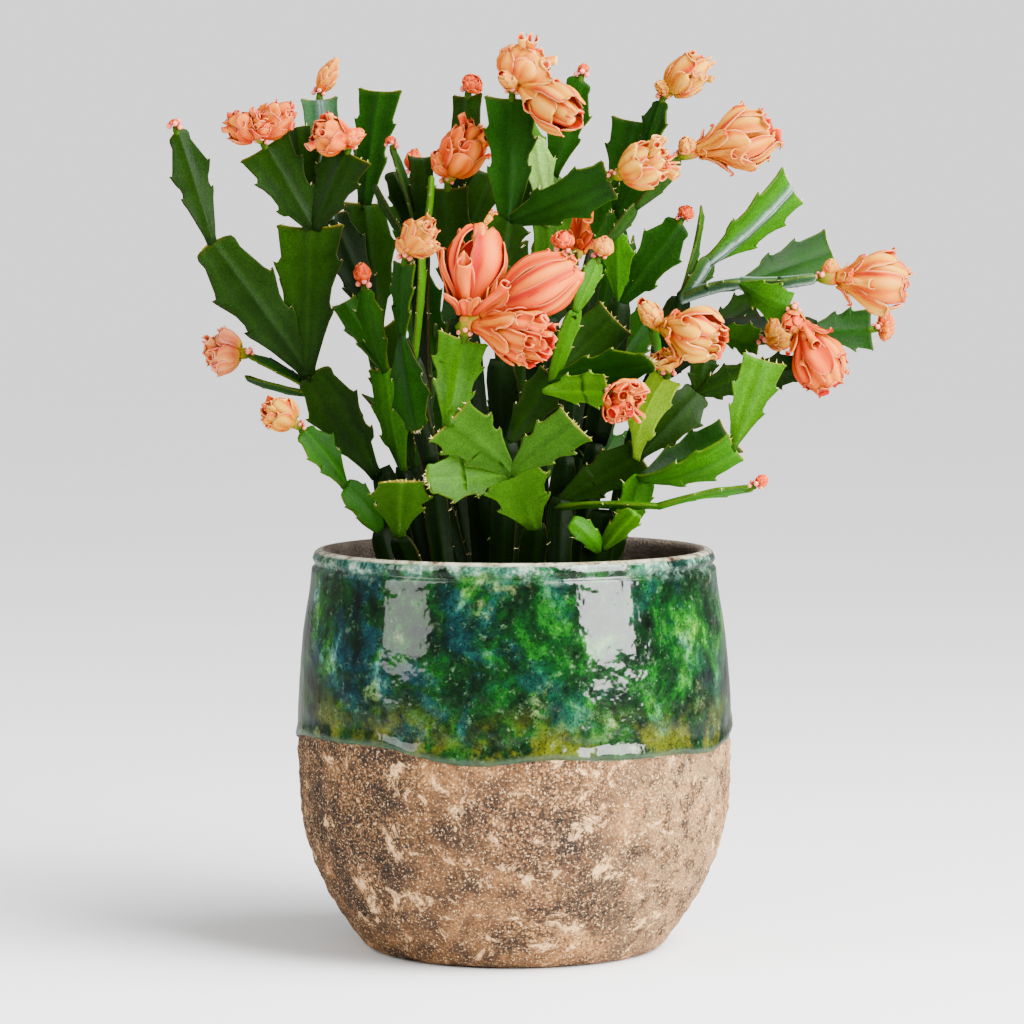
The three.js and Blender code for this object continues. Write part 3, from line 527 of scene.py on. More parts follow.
# %% Piece maker
def make_piece(name, parts, material, node=None):
    """Joins parts (points, faces, uv, colours) into one mesh object that rides on the root.

    A face is four point numbers, and a triangle has -1 for its fourth.
    """
    faces = []
    start = 0
    for points, part_faces, _, _ in parts:
        moved = np.where(part_faces < 0, -1, part_faces + start).tolist()
        faces.extend(face if face[3] >= 0 else face[:3] for face in moved)
        start += len(points)
    points, uvs, colours = (np.concatenate([part[k] for part in parts]) for k in (0, 2, 3))
    mesh = bpy.data.meshes.new(name)
    mesh.from_pydata((points * MM).tolist(), [], faces)
    corner = np.zeros(len(mesh.loops), np.int32)
    mesh.loops.foreach_get("vertex_index", corner)
    layer = mesh.uv_layers.new(name="surface")
    layer.data.foreach_set("uv", uvs[corner].astype(np.float32).ravel())
    skin = mesh.attributes.new("skin", "FLOAT_COLOR", "POINT")
    skin.data.foreach_set("color", np.c_[colours, np.ones(start)].astype(np.float32).ravel())
    mesh.shade_smooth()
    mesh.materials.append(material)
    piece = put(name, mesh)
    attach(piece, "root")
    if node:
        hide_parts(node)
    return len(faces)


# %% [markdown]
# ## Finishes
# Leaf and petal colours live in the mesh as a skin colour that follows the surface. Their
# materials add what is finer than the mesh: pores, mottling and a bump that breaks the shine.
# Light goes a little way into both, so they have subsurface scattering.

# %% Node helpers
class Nodes:
    """Adds nodes to one material and links them, so that a finish reads as a short list.

    Span maps low..high to 0..1 or to the two values given, and patches does so with a noise. Lay
    puts a flat colour over another where share is 1, and darken multiplies a colour.
    """

    def __init__(self, name):
        self.material = bpy.data.materials.new(name)
        self.material.use_nodes = True
        self.tree = self.material.node_tree
        self.shader = self.tree.nodes["Principled BSDF"]
        self.place = self.tree.nodes.new("ShaderNodeTexCoord").outputs["Object"]

    def connect(self, target, inputs):
        for key, value in inputs.items():
            if isinstance(value, bpy.types.NodeSocket):
                self.tree.links.new(value, target.inputs[key])
            else:
                target.inputs[key].default_value = value

    def node(self, kind, settings, inputs):
        made = self.tree.nodes.new(kind)
        for key, value in settings.items():
            setattr(made, key, value)
        self.connect(made, inputs)
        return made

    def noise(self, scale, detail=3.0, roughness=0.5, distortion=0.0, vector=None):
        return self.node("ShaderNodeTexNoise", {}, {
            "Vector": vector or self.place, "Scale": scale, "Detail": detail,
            "Roughness": roughness, "Distortion": distortion}).outputs["Fac"]

    def cells(self, scale):
        return self.node("ShaderNodeTexVoronoi", {}, {
            "Vector": self.place, "Scale": scale}).outputs["Distance"]

    def stretched(self, vector, *scale):
        return self.node("ShaderNodeMapping", {}, {
            "Vector": vector, "Scale": scale}).outputs["Vector"]

    def axis(self, letter):
        return self.node("ShaderNodeSeparateXYZ", {}, {"Vector": self.place}).outputs[letter]

    def skin(self):
        return self.node("ShaderNodeAttribute", {"attribute_name": "skin"}, {}).outputs["Color"]

    def skin_times(self, tint):
        return self.node("ShaderNodeVectorMath", {"operation": "SCALE"}, {
            0: self.skin(), "Scale": tint}).outputs[0]

    def math(self, operation, a, b=0.0):
        return self.node("ShaderNodeMath", {"operation": operation}, {0: a, 1: b}).outputs[0]

    def times(self, a, b):
        return self.math("MULTIPLY", a, b)

    def span(self, value, low, high, to_low=0.0, to_high=1.0, kind="SMOOTHSTEP"):
        return self.node("ShaderNodeMapRange", {"interpolation_type": kind}, {
            "Value": value, "From Min": low, "From Max": high,
            "To Min": to_low, "To Max": to_high}).outputs["Result"]

    def patches(self, scale, detail, roughness, low, high, *to):
        return self.span(self.noise(scale, detail, roughness), low, high, *to)

    def blend(self, share, a, b, kind="MIX"):
        a, b = (c if isinstance(c, bpy.types.NodeSocket) else (*c, 1.0) for c in (a, b))
        return self.node("ShaderNodeMix", {"data_type": "RGBA", "blend_type": kind},
                         {0: share, 6: a, 7: b}).outputs[2]

    def lay(self, colour, share, strength, code):
        return self.blend(self.times(share, strength), colour, srgb(code))

    def darken(self, colour, factor):
        return self.blend(1.0, colour, factor, "MULTIPLY")

    def ramp(self, value, *stops):
        made = self.node("ShaderNodeValToRGB", {}, {"Fac": value})
        elements = made.color_ramp.elements
        while len(elements) < len(stops):
            elements.new(0.5)
        for element, (position, code) in zip(elements, stops):
            element.position = position
            element.color = (*srgb(code), 1.0)
        return made.outputs["Color"]

    def bump(self, height, strength, distance):
        return self.node("ShaderNodeBump", {}, {
            "Height": height, "Strength": strength, "Distance": distance}).outputs["Normal"]

    def finish(self, inputs):
        self.connect(self.shader, inputs)
        return self.material


# %% Leaf skin
def leaf_skin():
    """Skin colour x fine pores x soft patches, with a pitted satin surface."""
    n = Nodes("leaf_skin")
    patches = n.noise(95.0, 3.0, 0.55)
    tint = n.times(n.patches(1500.0, 2.0, 0.6, 0.32, 0.68, 0.66, 1.24, "LINEAR"),
                   n.span(patches, 0.3, 0.7, 0.84, 1.14, "LINEAR"))
    return n.finish({
        "Base Color": n.skin_times(tint),
        "Roughness": n.span(patches, 0.3, 0.7, 0.34, 0.50, "LINEAR"),
        "Normal": n.bump(n.noise(800.0, 3.0, 0.6), 0.35, 0.0004),
        "Subsurface Weight": 0.08, "Subsurface Scale": 0.003,
        "Subsurface Radius": (0.4, 1.0, 0.15), "Specular IOR Level": 0.06})


LEAF = leaf_skin()
print("material:", LEAF.name)


# %% Petal skin
def petal_skin():
    """Skin colour with fine lengthwise streaks; waxy, and lit through."""
    n = Nodes("petal_skin")
    uv = n.node("ShaderNodeUVMap", {"uv_map": "surface"}, {}).outputs["UV"]
    streaks = n.noise(1.0, 2.0, 0.5, 0.3, n.stretched(uv, 26.0, 2.0, 1.0))
    tint = n.times(n.span(streaks, 0.3, 0.7, 0.93, 1.06, "LINEAR"),
                   n.patches(160.0, 2.0, 0.5, 0.3, 0.7, 0.95, 1.05, "LINEAR"))
    return n.finish({
        "Base Color": n.skin_times(tint), "Normal": n.bump(streaks, 0.12, 0.0004),
        "Roughness": 0.42, "Subsurface Weight": 0.08, "Subsurface Scale": 0.003,
        "Subsurface Radius": (1.0, 0.35, 0.12), "Specular IOR Level": 0.06})


PETAL = petal_skin()
print("material:", PETAL.name)


# %% Bristle straw
def bristle_straw():
    """Straw yellow that runs to rust brown in patches."""
    n = Nodes("bristle_straw")
    colour = n.ramp(n.noise(220.0, 2.0), (0.3, "d9c25a"), (0.5, "e9dc9a"), (0.75, "a8743c"))
    return n.finish({"Base Color": colour, "Roughness": 0.55, "Subsurface Weight": 0.1,
                     "Subsurface Scale": 0.001})


BRISTLE = bristle_straw()
print("material:", BRISTLE.name)

# %% [markdown]
# ## Leaf pads
# A pad is flat, thin at its edge and thick at its midrib. Its outline widens from a narrow foot,
# steps back behind each pointed tooth, and ends in a hollowed tip between two horns. The outline
# is a short list of widths at shares of the length. The columns of the grid crowd together at the
# rib and at the edges, where the shape changes fast.

# %% Pad outlines
TEETH = {PAD: [.385, .69], SLIM: [.46, .75], OLD: [.28, .64]}
COLUMNS = np.array([0, .07, .2, .4, .62, .82, .94, .985, 1.0])
COLUMNS = np.concatenate([-COLUMNS[:0:-1], COLUMNS])


def roundness(tip):
    """1 for a narrow tip, which ends in round corners, down to 0 for a wide one with horns."""
    return np.clip((1 - tip) / 0.25, 0, 1)


def side_outline(kind, tip, fill, rng):
    """Half widths at shares of the length on one side, and where that side's teeth stand.

    Before each tooth the edge swells out, at the tooth it peaks, and behind it steps back in.
    Below the first tooth the widths are raised to the power fill; under 1 it makes a fuller foot.
    """
    low, high = np.array(TEETH[kind]) + rng.uniform(-0.05, 0.05, 2)
    gap = (low + high) / 2
    if kind == PAD:
        shares = [0, .06, .14, .25, low - .07, low - .018, low, low + .02, low + .06, gap,
                  high - .07, high - .018, high, high + .02, high + .06, .90, .96, .988, 1]
        ends = np.array([.78, .82, .87 - .15 * roundness(tip), .76 - .3 * roundness(tip)]) * tip
        widths = [.17, .20, .30, .45, .62, .75, .84, .73, .68, .73, .86, .97, 1.05, .92, .83, *ends]
    elif kind == SLIM:
        shares = [0, .08, .2, .36, low - .02, low, low + .02, gap, high - .03, high, high + .02,
                  .88, .96, 1]
        widths = [.30, .42, .60, .78, .86, .95, .82, .84, .98, 1.08, .92, .84, .66, .55]
    else:
        shares = [0, .1, low - .02, low, low + .02, .46, high - .02, high, high + .02, .8, .92, 1]
        widths = [.66, .85, .93, 1.0, .92, .95, 1.0, 1.07, .97, .98, .84, .6]
    shares, widths = np.array(shares), np.array(widths)
    return shares, np.where(shares < low - 0.01, widths ** fill, widths), [low, high]


print("columns across a pad:", len(COLUMNS))

# %% Tones
# sunny is painted light, a brighter green for a pad that faces away from the lamps; shade is painted
# shade, the darkest green, for the old joints and a pad at the back
TONES = {
    "dark": "112900", "mid": "0e3200", "bright": "265700", "matte": "2c5208", "pale": "7ca614",
    "grey": "1e3a0c", "silver": "254526", "shade": "081802", "lime": "2e5a00",
    "sunny": "4e8c00", "leafy": "184400", "mist": "6c9440",
}
# the old joints get the shade tone, a painted shade
OLD_TONE = "shade"
# the corky edge of a dark pad and of a light one, and the scar along its tip
BROWN, PALE_BROWN, SCAR = "3a2c0a", "55600c", "80681a"
# lines along a silver rib: colour, strength, middle, half width, steepness
# the two pale lines beside the midrib are painted highlights
SILVER_RIB = [("2c4434", 0.9, 0.0, 2.3, 4), ("8fa498", 0.7, -0.9, 0.5, 2),
              ("c9d6d0", 0.5, 0.9, 0.3, 2)]
print("tones:", ", ".join(TONES))


# %% One joint
# half thickness at the edge, added by the body and by the rib, and the rib's half width
THICKNESS = {PAD: (0.55, 0.30, 0.75, 1.5), SLIM: (0.55, 0.35, 0.7, 1.4), OLD: (0.7, 0.5, 1.7, 2.6)}
SILVER_THICKNESS = (0.55, 0.3, 2.2, 2.2)
CUP, WAVE, TOOTH = 0.07, 0.022, 0.011


def joint_blade(joint, look, rng):
    """Across = column x half width(share); the blade is cupped and waved along its normal.

    Half thickness = a flat blade that rounds off at its edges + a bell-shaped midrib.
    Returns the blade and the points and directions where its bristles stand.
    """
    width, kind = joint[6], joint[10]
    tip, fill = float(look["tip"]), float(look["fill"])
    sides = [side_outline(kind, tip, fill, rng) for _ in range(2)]
    start = -0.04 if kind != OLD else 0.0
    share = np.unique(np.round(np.concatenate(
        [np.linspace(start, 0.94, 12), sides[0][0], sides[1][0], [.995]]), 4))
    s = COLUMNS[None, :]
    v = share[:, None]
    middle, normal, across, along, length = joint_frame(joint, share)
    left, right = (np.interp(share, *side[:2])[:, None] * (1 + 0.04 * rng.standard_normal())
                   for side in sides)
    x = s * np.where(s < 0, left, right) * width / 2
    tooth = sum(np.exp(-((v - t) / TOOTH) ** 2) * (s * way > 0)
                for way, side in zip((-1, 1), sides) for t in side[2])
    lean = 0.014 * rng.standard_normal() * s * smooth(v, 0.1, 0.4)
    narrow = roundness(tip)
    horns = (0.024 - 0.05 * narrow) * np.abs(s) ** 3 + 0.02 * narrow - 0.010
    horns = smooth(v, 0.7, 1.0) * horns * (kind == PAD)
    ahead = length * (0.03 * tooth * np.abs(s) ** 8 + lean + horns)
    wave = WAVE * width * np.sin(2 * np.pi * 1.3 * v + rng.uniform(0, 6.28) + s) * s ** 2
    tilt = 0.05 * rng.standard_normal() * x * v
    rise = CUP * 2 * x ** 2 / width + wave + tilt
    grid = (middle[:, None] + along * ahead[..., None] + across[:, None] * x[..., None]
            + normal[:, None] * rise[..., None])
    edge, body, rib, rib_width = SILVER_THICKNESS if "rib" in look else THICKNESS[kind]
    half = edge + body * (1 - s ** 2) + rib * np.exp(-(x / rib_width) ** 2) * (1 - 0.3 * v)
    half = half * (1 - 0.45 * smooth(v, 0.96, 1.0))
    uv = np.stack([(s + 1) / 2 + 0 * v, v + 0 * s], axis=-1)
    colour = pad_colour(s, v, x, look["tone"], kind, rng)
    # a silver rib: a grey band and two pale lines of painted highlight
    if "rib" in look:
        for code, strength, centre, spread, power in SILVER_RIB:
            bell = np.exp(-((x - centre) / spread) ** power)
            colour = mix(colour, srgb(code), strength * bell)
    part = blade(grid, half, uv, colour, colour * 0.96)
    return part, bristle_seats(grid, share, along, across, kind, sides)


# %% Pad colours
def pad_colour(s, v, x, tone, kind, rng):
    """The tone, a little other on the rib, darker at the foot, brown on the edge and the tip."""
    base = srgb(TONES[tone]) * (1 + 0.10 * rng.standard_normal())
    grid = np.ones((*x.shape, 3)) * base
    grid = mix(grid, base * rng.uniform(0.8, 1.7), 0.5 * np.exp(-(x / 0.8) ** 2))
    # painted light and shade: each pad is lighter on one side and darker on the other, by a drawn
    # amount
    side = 0.22 * rng.standard_normal()
    # painted highlights: light and dark bands that run along the pad like streaks of gloss
    highlight_bands = ripple(rng, 5, 9, s, 0.6 * v)
    highlight_bands = highlight_bands + 0.7 * ripple(rng, 12, 17, s, -0.5 * v)
    grid = grid * (1 + side * s * 0.6 + 0.2 * (v - 0.5) + 0.13 * highlight_bands)[..., None]
    brown = BROWN if tone in ("dark", "shade", "grey") else PALE_BROWN
    grid = mix(grid, srgb(brown), 0.5 * smooth(np.abs(s) + 0 * v, 0.97, 1.0))
    grid = mix(grid, base * 0.4, 0.7 * (1 - smooth(v + 0 * s, 0.0, 0.12)))
    return mix(grid, srgb(SCAR), 0.6 * smooth(v + 0 * s, 0.986, 1.0) * (kind == PAD))


# %% Bristle seats
def bristle_seats(grid, share, along, across, kind, sides):
    """Points behind each tooth and along the tip, with the way their bristles lean."""
    points, ways = [], []
    for column, way, side in zip((0, -1), (-1.0, 1.0), sides):
        for tooth in side[2]:
            row = np.argmin(np.abs(share - tooth - 0.02))
            points.append(grid[row, column])
            ways.append(unit(across[row] * way + along * 0.7))
    if kind == PAD:
        points.extend(grid[-1, 2:-2:2])
        ways.extend([along] * len(grid[-1, 2:-2:2]))
    return np.array(points), np.array(ways)


# %% Stems made of joints
STEM_SEED = 100


def make_stems():
    """Every joint of a stem as one piece; bristle seats are gathered for the next step.

    A pad's tip and fill are drawn, and the notes of its row come before what was drawn.
    """
    seats = []
    faces = 0
    for order, (name, (tone, _, joints)) in enumerate(STEMS.items()):
        rng = np.random.default_rng(STEM_SEED + order)
        parts = []
        for joint in joints:
            kind, notes = joint[-2:]
            look = {"tone": OLD_TONE if kind == OLD else tone,
                    "tip": rng.uniform(0.72, 1.1), "fill": rng.uniform(0.8, 1.0), **notes}
            part, seat = joint_blade(joint, look, rng)
            parts.append(part)
            seats.append(seat)
            if joint is joints[0]:
                parts.append(stem_foot(joint, look["tone"]))
        faces += make_piece(name + "_pads", parts, LEAF, name)
    print("stems:", len(STEMS), "faces:", faces)
    return seats


# %% Root collars
def stem_foot(joint, tone):
    """The root collar: rings of slowly changing radius from inside the soil up to the blade."""
    heights = np.array([134, 138, 141, 143, 145, 147, 150, 154, 158.0])
    radii = np.array([2.6, 3.0, 3.3, 3.6, 3.6, 3.4, 3.1, 2.7, 1.6])
    foot, tip = place([joint[0:3], joint[3:6]])
    middle, normal, across, _, _ = joint_frame(joint, (heights - 147) / (tip[2] - foot[2]))
    below = np.c_[np.tile(middle[5, :2], (9, 1)), heights]
    middle = np.where((heights < 147)[:, None], below, middle)
    angle = np.linspace(0, 2 * np.pi, 12, endpoint=False)
    flat = np.interp(heights, [147, 158], [1.0, 0.8])[:, None]
    ring = (across[:, None] * (radii[:, None] * np.cos(angle) * 1.1)[..., None]
            - normal[:, None] * (radii[:, None] * flat * np.sin(angle))[..., None])
    return tube(middle[:, None] + ring, srgb(TONES[tone]) * 0.8)


seats = make_stems()

# %% [markdown]
# ## Bristles
# Young pads carry short soft bristles in the notches behind their teeth and along their hollow
# tip. Hair curves would be lost in an export, so each one is a small three-sided spike of real
# mesh. All of them are worked out in one array.

# %% Bristles
BRISTLE_SEED = 7


def make_bristles(seats, rng):
    """A spike = rings of three points; ring radius shrinks to nothing while its middle arcs over."""
    points, ways = (np.repeat(np.concatenate(lists), 2, axis=0) for lists in zip(*seats))
    ways = unit(ways + rng.normal(0, 0.45, points.shape))
    length = rng.uniform(0.8, 2.4, len(points))[:, None, None]
    drift = 0.22 * length * np.clip(rng.normal(0, 1, (len(points), 1, 3)), -1.5, 1.5)
    t = np.array([0, 0.35, 0.7, 1.0])[None, :, None]
    middle = points[:, None] + ways[:, None] * (t - 0.25) * length + drift * t ** 2
    side = unit(np.cross(ways, [0.31, 0.2, 0.93]))
    other = np.cross(ways, side)
    angle = np.radians([0, 120, 240])[:, None]
    spread = 0.17 * np.array([1.0, 0.8, 0.5, 0.06])[None, :, None, None]
    ring = (side[:, None, None] * np.cos(angle) + other[:, None, None] * np.sin(angle)) * spread
    points = (middle[:, :, None] + ring).reshape(-1, 3)
    index = np.arange(len(points)).reshape(-1, 4, 3)
    ends = np.concatenate([index[:, 0, ::-1], index[:, -1]])
    faces = np.concatenate([grid_quads(closed(index)), np.c_[ends, np.full(len(ends), -1)]])
    part = points, faces, np.zeros((len(points), 2)), np.ones((len(points), 3))
    return make_piece("pad_bristles", [part], BRISTLE)


print("bristle faces:", make_bristles(seats, np.random.default_rng(BRISTLE_SEED)))

# %% [markdown]
# ## Petals
# A flower of this kind keeps the shape of an egg: its petals lie in layers on one swelling form
# and only their tips leave it. So each petal's middle line is read off the form at its own layer,
# with a flare or a hook added at the tip. Across, a petal bends round the axis as the form does.
# The small rolled ones bend nearly a full turn and end in a round mouth.

# %% Petal shapes
FORMS = {
    "egg": ([0, .12, .25, .4, .55, .7, .84, .94, 1.06],
            [.24, .30, .48, .80, 1.0, .98, .78, .52, .24]),
    "ball": ([0, .1, .25, .45, .65, .82, .94, 1.06], [.34, .62, .92, 1, .94, .72, .46, .16]),
    "bud": ([0, .12, .3, .55, .78, .94, 1.06], [.34, .72, 1.0, .96, .66, .36, .10]),
}
PETAL_WIDTHS = {
    "lance": ([0, .2, .45, .62, .8, .92, 1], [.34, .62, .95, 1, .74, .40, .05]),
    "broad": ([0, .15, .4, .62, .8, .9, .96, 1], [.42, .62, .92, 1, .90, .70, .46, .12]),
    "strap": ([0, .2, .6, .85, .96, 1], [.55, .80, 1, .90, .5, .15]),
    "spoon": ([0, .3, .6, .85, 1], [.34, .50, .66, .84, 1.0]),
}
print("forms:", ", ".join(FORMS), "petal shapes:", ", ".join(PETAL_WIDTHS))


# %% Petal lines
def on_form(form, base, tip, layer, flare=0.0, hook=0.0):
    """Spread = layer x the form's radius at each height + flare near the tip; a hook adds two
    points that turn outwards and back down. In shares of the flower's length and half width.
    """
    height = np.linspace(base, tip, 9)
    spread = layer * np.interp(height, *FORMS[form]) + flare * smooth(height, base, tip) ** 2
    points = np.stack([height, spread], axis=-1)
    if hook:
        end = points[-1]
        points = np.concatenate([points, [end + [0.02, 0.6 * hook], end + [-0.05, hook]]])
    return points


def petal_line(points, length, width, steps):
    """Even steps along the straight spans between the points, rounded by averaging neighbours."""
    points = np.asarray(points) * [length, width / 2]
    reach = np.r_[0, np.cumsum(np.hypot(*np.diff(points, axis=0).T))]
    share = np.linspace(0, 1, steps)
    line = np.stack([np.interp(share * reach[-1], reach, points[:, k]) for k in (0, 1)], axis=-1)
    for _ in range(3):
        line[1:-1] = (line[:-2] + 2 * line[1:-1] + line[2:]) / 4
    return share, line, np.arctan2(*np.gradient(line, axis=0).T[::-1])


# %% Petal surface
def petal_surface(turn, path, width, shape, wrap, ruffle, columns, rng):
    """Across an arc of half angle c and half width w: side = w sin(c u) / c and
    inward = w (1 - cos(c u)) / c, where c = wrap x w / distance from the axis.
    Pleats run lengthwise, the margins roll outwards, and a ruffle grows towards the margins and
    the tip. Returns points (x, y, height), share, |u| and how deep each point lies in a pleat.
    """
    share, line, lean = path
    v = share[:, None]
    u = np.linspace(-1, 1, columns)
    u = np.sign(u) * np.abs(u) ** 0.8
    half_width = np.interp(share, *PETAL_WIDTHS[shape])[:, None] * width / 2
    arc = np.clip(wrap * half_width / np.maximum(line[:, 1:], 0.2 * width), 0.15, 2.85)
    side = half_width * np.sin(arc * u) / arc
    inward = half_width * (1 - np.cos(arc * u)) / arc
    calm = 1.0 if wrap < 3 else 0.15
    wave = ripple(rng, 8, 16, v, 2.5 * u)
    wave = wave + 0.5 * ripple(rng, 18, 26, v, -2.0 * u)
    inward = inward + ruffle * width * wave * np.abs(u) ** 1.5 * smooth(v, 0.15, 0.7)
    inward = inward - calm * rng.uniform(0.0, 0.05) * width * np.abs(u) ** 5 * smooth(v, 0.2, 0.7)
    pleat = np.sin(rng.uniform(3.5, 6.5) * u + rng.uniform(0, 6.28) + rng.uniform(-1.2, 1.2) * v)
    furrow = pleat * np.sin(np.pi * v) ** 0.6 * (1 - np.abs(u) ** 4)
    inward = inward + calm * min(0.6, 0.05 * width) * furrow
    side = side + calm * rng.uniform(-0.10, 0.10) * width * v ** 2
    out = line[:, 1:] - inward * np.cos(lean)[:, None]
    up = line[:, :1] + inward * np.sin(lean)[:, None] - 0.02 * width * wave * v ** 3 * calm
    angle = np.radians(turn)
    x = out * np.sin(angle) + side * np.cos(angle)
    y = side * np.sin(angle) - out * np.cos(angle)
    return np.stack([x, y, up], axis=-1), v + 0 * u, np.abs(u) + 0 * v, furrow


# %% [markdown]
# ## Petal colours
# Each petal is light in the middle of its back and flushes to coral at its sides and in its
# pleats, partly its own colour and partly painted shade, with a painted highlight on the ridges
# between the pleats and a thin pale peach rim. Its inner face and its claw are deeper, partly
# their own colour and partly painted shade in the hollows between the petals.

# %% Petal colours
# each row: middle of the back, flush of its sides, rim, inner hollow, foot; the flush,
# the hollow and the foot are partly painted shade
PETAL_TONES = {
    "coral": ["f05404", "ac0a00", "ff9450", "9c0800", "b82004"],
    "peach": ["ee8e00", "c41c00", "ffac6c", "bc2400", "cc7000"],
    "rose": ["e4440a", "9c0c00", "ff8c54", "980a00", "b02408"],
    "amber": ["eea400", "cc3000", "ffba70", "c44000", "c08c00"],
    "cream": ["f0b010", "d44800", "ffc884", "d04c00", "c89400"],
    "blush": ["f69a58", "e05438", "ffb4a0", "d86828", "d4a418"],
    "glow": ["f08800", "bc1c00", "ff9c78", "cc4400", "c42c00"],
}
# each tone's paler partner, which petals on the lit side lean towards as painted light
PARTNER = {"coral": "peach", "peach": "cream", "rose": "coral", "amber": "cream",
           "cream": "amber", "blush": "peach", "glow": "rose"}
print("petal tones:", ", ".join(PETAL_TONES))


def petal_colours(tones, share, reach, furrow, strength):
    """Outer face: pale -> flush at the sides and in the pleats -> rim. Inner: hollow -> flush."""
    pale, flush_and_shade, rim, hollow, foot = tones
    # flush at the sides and towards the foot: partly the petal's own colour, partly painted shade
    sides = strength * (0.9 * smooth(reach, 0.3, 0.85) + 0.6 * (1 - smooth(share, 0.15, 0.7)))
    # painted shade: the flush deepens in the pleats
    outer = mix(pale, flush_and_shade, np.clip(sides + 0.55 * smooth(furrow, 0.1, 0.9), 0, 1))
    # painted highlight: paler along the ridges between the pleats
    outer = mix(outer, (pale + rim) / 2, 0.5 * smooth(-furrow, 0.3, 0.9) * smooth(share, .3, .7))
    # the foot and the inner hollow are deeper, partly their own colour and partly painted shade
    outer = mix(foot, outer, smooth(share, 0.0, 0.35))
    inner = mix(hollow, flush_and_shade, 0.5 * smooth(share, 0.4, 0.9))
    edge = np.maximum(smooth(reach, 0.85, 1.0), smooth(share, 0.96, 1.0)) * smooth(share, .1, .5)
    return mix(outer, rim, 0.75 * edge), mix(inner, rim, 0.75 * edge)


# %% Flower parts
def to_world(local, start, axis):
    """The flower's own x, y and height go to the picture's right, away from the eye, and up
    its axis. A petal's turn is counted from the side that faces the eye, to the right.
    """
    eye_way = [0.0, 0.0, 1.0] if abs(axis[1]) > 0.93 else [0.0, -1.0, 0.0]
    right = unit(np.cross(axis, eye_way))
    away = np.cross(axis, right)
    return start + local[..., :1] * right + local[..., 1:2] * away + local[..., 2:] * axis


def make_flower(petals, start, axis, length, width, tone, rng, grid):
    """Skins every petal at the flower's real length and width, with a slightly thicker margin.

    A petal's five colours lie between the flower's tone and that tone's paler partner. Petals on
    the right, where the light comes from, are nearer the partner, as painted light. Grid is rows,
    columns and half thickness.
    """
    parts = []
    rows, columns, thickness = grid
    own, other = srgb(PETAL_TONES[tone]), srgb(PETAL_TONES[PARTNER[tone]])
    for turn, points, wide, shape, wrap, ruffle in petals:
        path = petal_line(points, length, width, rows)
        local, share, reach, furrow = petal_surface(turn, path, wide * width, shape, wrap,
                                                    ruffle, columns, rng)
        # painted light: a petal turned to the right, towards the lamps, gets more of the paler tone
        lit = 0.4 + 0.45 * np.sin(np.radians(turn)) * axis[2] + 0.25 * rng.standard_normal()
        tones = mix(own, other, np.full(5, np.clip(lit, 0, 1)))
        outer, inner = petal_colours(tones, share, reach, furrow, rng.uniform(0.3, 1.2))
        tint = 0.79 + 0.06 * rng.standard_normal()
        margin = 1 + 0.9 * np.exp(-((reach - 0.86) / 0.1) ** 2)
        half = thickness * margin * (1 - 0.4 * share)
        uv = np.stack([reach, share], axis=-1)
        parts.append(blade(to_world(local, start, axis), half, uv, outer * tint, inner * tint))
    return parts


# %% Bulbs
def bulb(start, axis, heights, radii, colours, around=14):
    """A body turned round the axis: ring radius given at each height, colour given at each ring."""
    angle = np.linspace(0, 2 * np.pi, around, endpoint=False)
    local = np.stack([np.outer(radii, np.cos(angle)), np.outer(radii, np.sin(angle)),
                      np.outer(heights, np.ones(around))], axis=-1)
    return tube(to_world(local, start, axis), np.repeat(colours, around, axis=0))


# %% Whorls
def drawn(rng, value):
    """A pair is drawn between its two ends, and a single number stays as it is."""
    return rng.uniform(*value) if isinstance(value, tuple) else value


def whorls(rng, form, rows):
    """Petals set evenly round the axis in each row, every one with its own draws.

    A row is count, first turn, spread of the turns, base, tip, layer, flare, hook, how often a
    petal has the hook, width, shape, wrap and ruffle.
    """
    petals = []
    for (count, first, spread, base, tip, layer, flare, hook, chance, width, shape, wrap,
         ruffle) in rows:
        for k in range(count):
            turn = 360 * k / count + first + rng.uniform(-spread, spread)
            form_tip, form_flare, form_hook = drawn(rng, tip), drawn(rng, flare), drawn(rng, hook)
            if chance < 1:
                form_hook = form_hook * (rng.uniform() < chance)
            points = on_form(form, base, form_tip, layer, form_flare, form_hook)
            petals.append([turn, points, drawn(rng, width), shape, drawn(rng, wrap), ruffle])
    return petals


# %% Petals listed one by one
def spoon(turn, size, rise, out=1.12):
    """A rolled petal that runs up the form and opens outwards in a round mouth."""
    path = [[rise - .34, .3], [rise - .2, .62], [rise - .06, out - .26], [rise, out - .02],
            [rise + .02, out + .06]]
    return [turn, path, size, "spoon", 30.0, 0.0]


def petal(turn, base, tip, layer, width, shape="broad", flare=0.0, hook=0.0, wrap=1.0, ruffle=0.02):
    """One petal on the egg form, in the order in which make_flower reads it."""
    return [turn, on_form("egg", base, tip, layer, flare, hook), width, shape, wrap, ruffle]


# %% Two tulip-shaped flowers
LEFT_TULIP = [
    petal(180, .10, .90, .80, .80), petal(125, .10, .94, .88, .55), petal(232, .10, .86, .80, .50),
    petal(40, .06, .97, .94, .80, wrap=.9), petal(90, .08, .84, 1.04, .46), petal(64, .2, .9, .8, .5),
    petal(-58, .10, 1.0, .84, .32, "strap", hook=-.30, ruffle=.04),
    petal(-18, .08, .66, .92, .36, "lance", ruffle=.03),
    petal(-80, .10, .70, 1.0, .30, "lance", hook=.2),
    petal(14, .30, 1.03, .78, .26, "strap", hook=-.26), petal(-100, .2, .94, .8, .3, "strap", hook=.2),
    [-96, [[.06, .3], [.25, .66], [.5, .98], [.68, 1.14], [.74, .98], [.7, .84]], .15, "strap", 1.0,
     .02],
    petal(-60, .02, .22, 1.15, .22, "lance", flare=.4),
    petal(52, .02, .20, 1.2, .26, "lance", flare=.3, ruffle=.1),
    petal(-14, .02, .17, 1.15, .24, "lance", flare=.2),
    petal(20, .02, .2, 1.1, .2, "lance", flare=.4),
    petal(160, .02, .3, 1.1, .3, "strap"), spoon(-14, .66, .46),
]
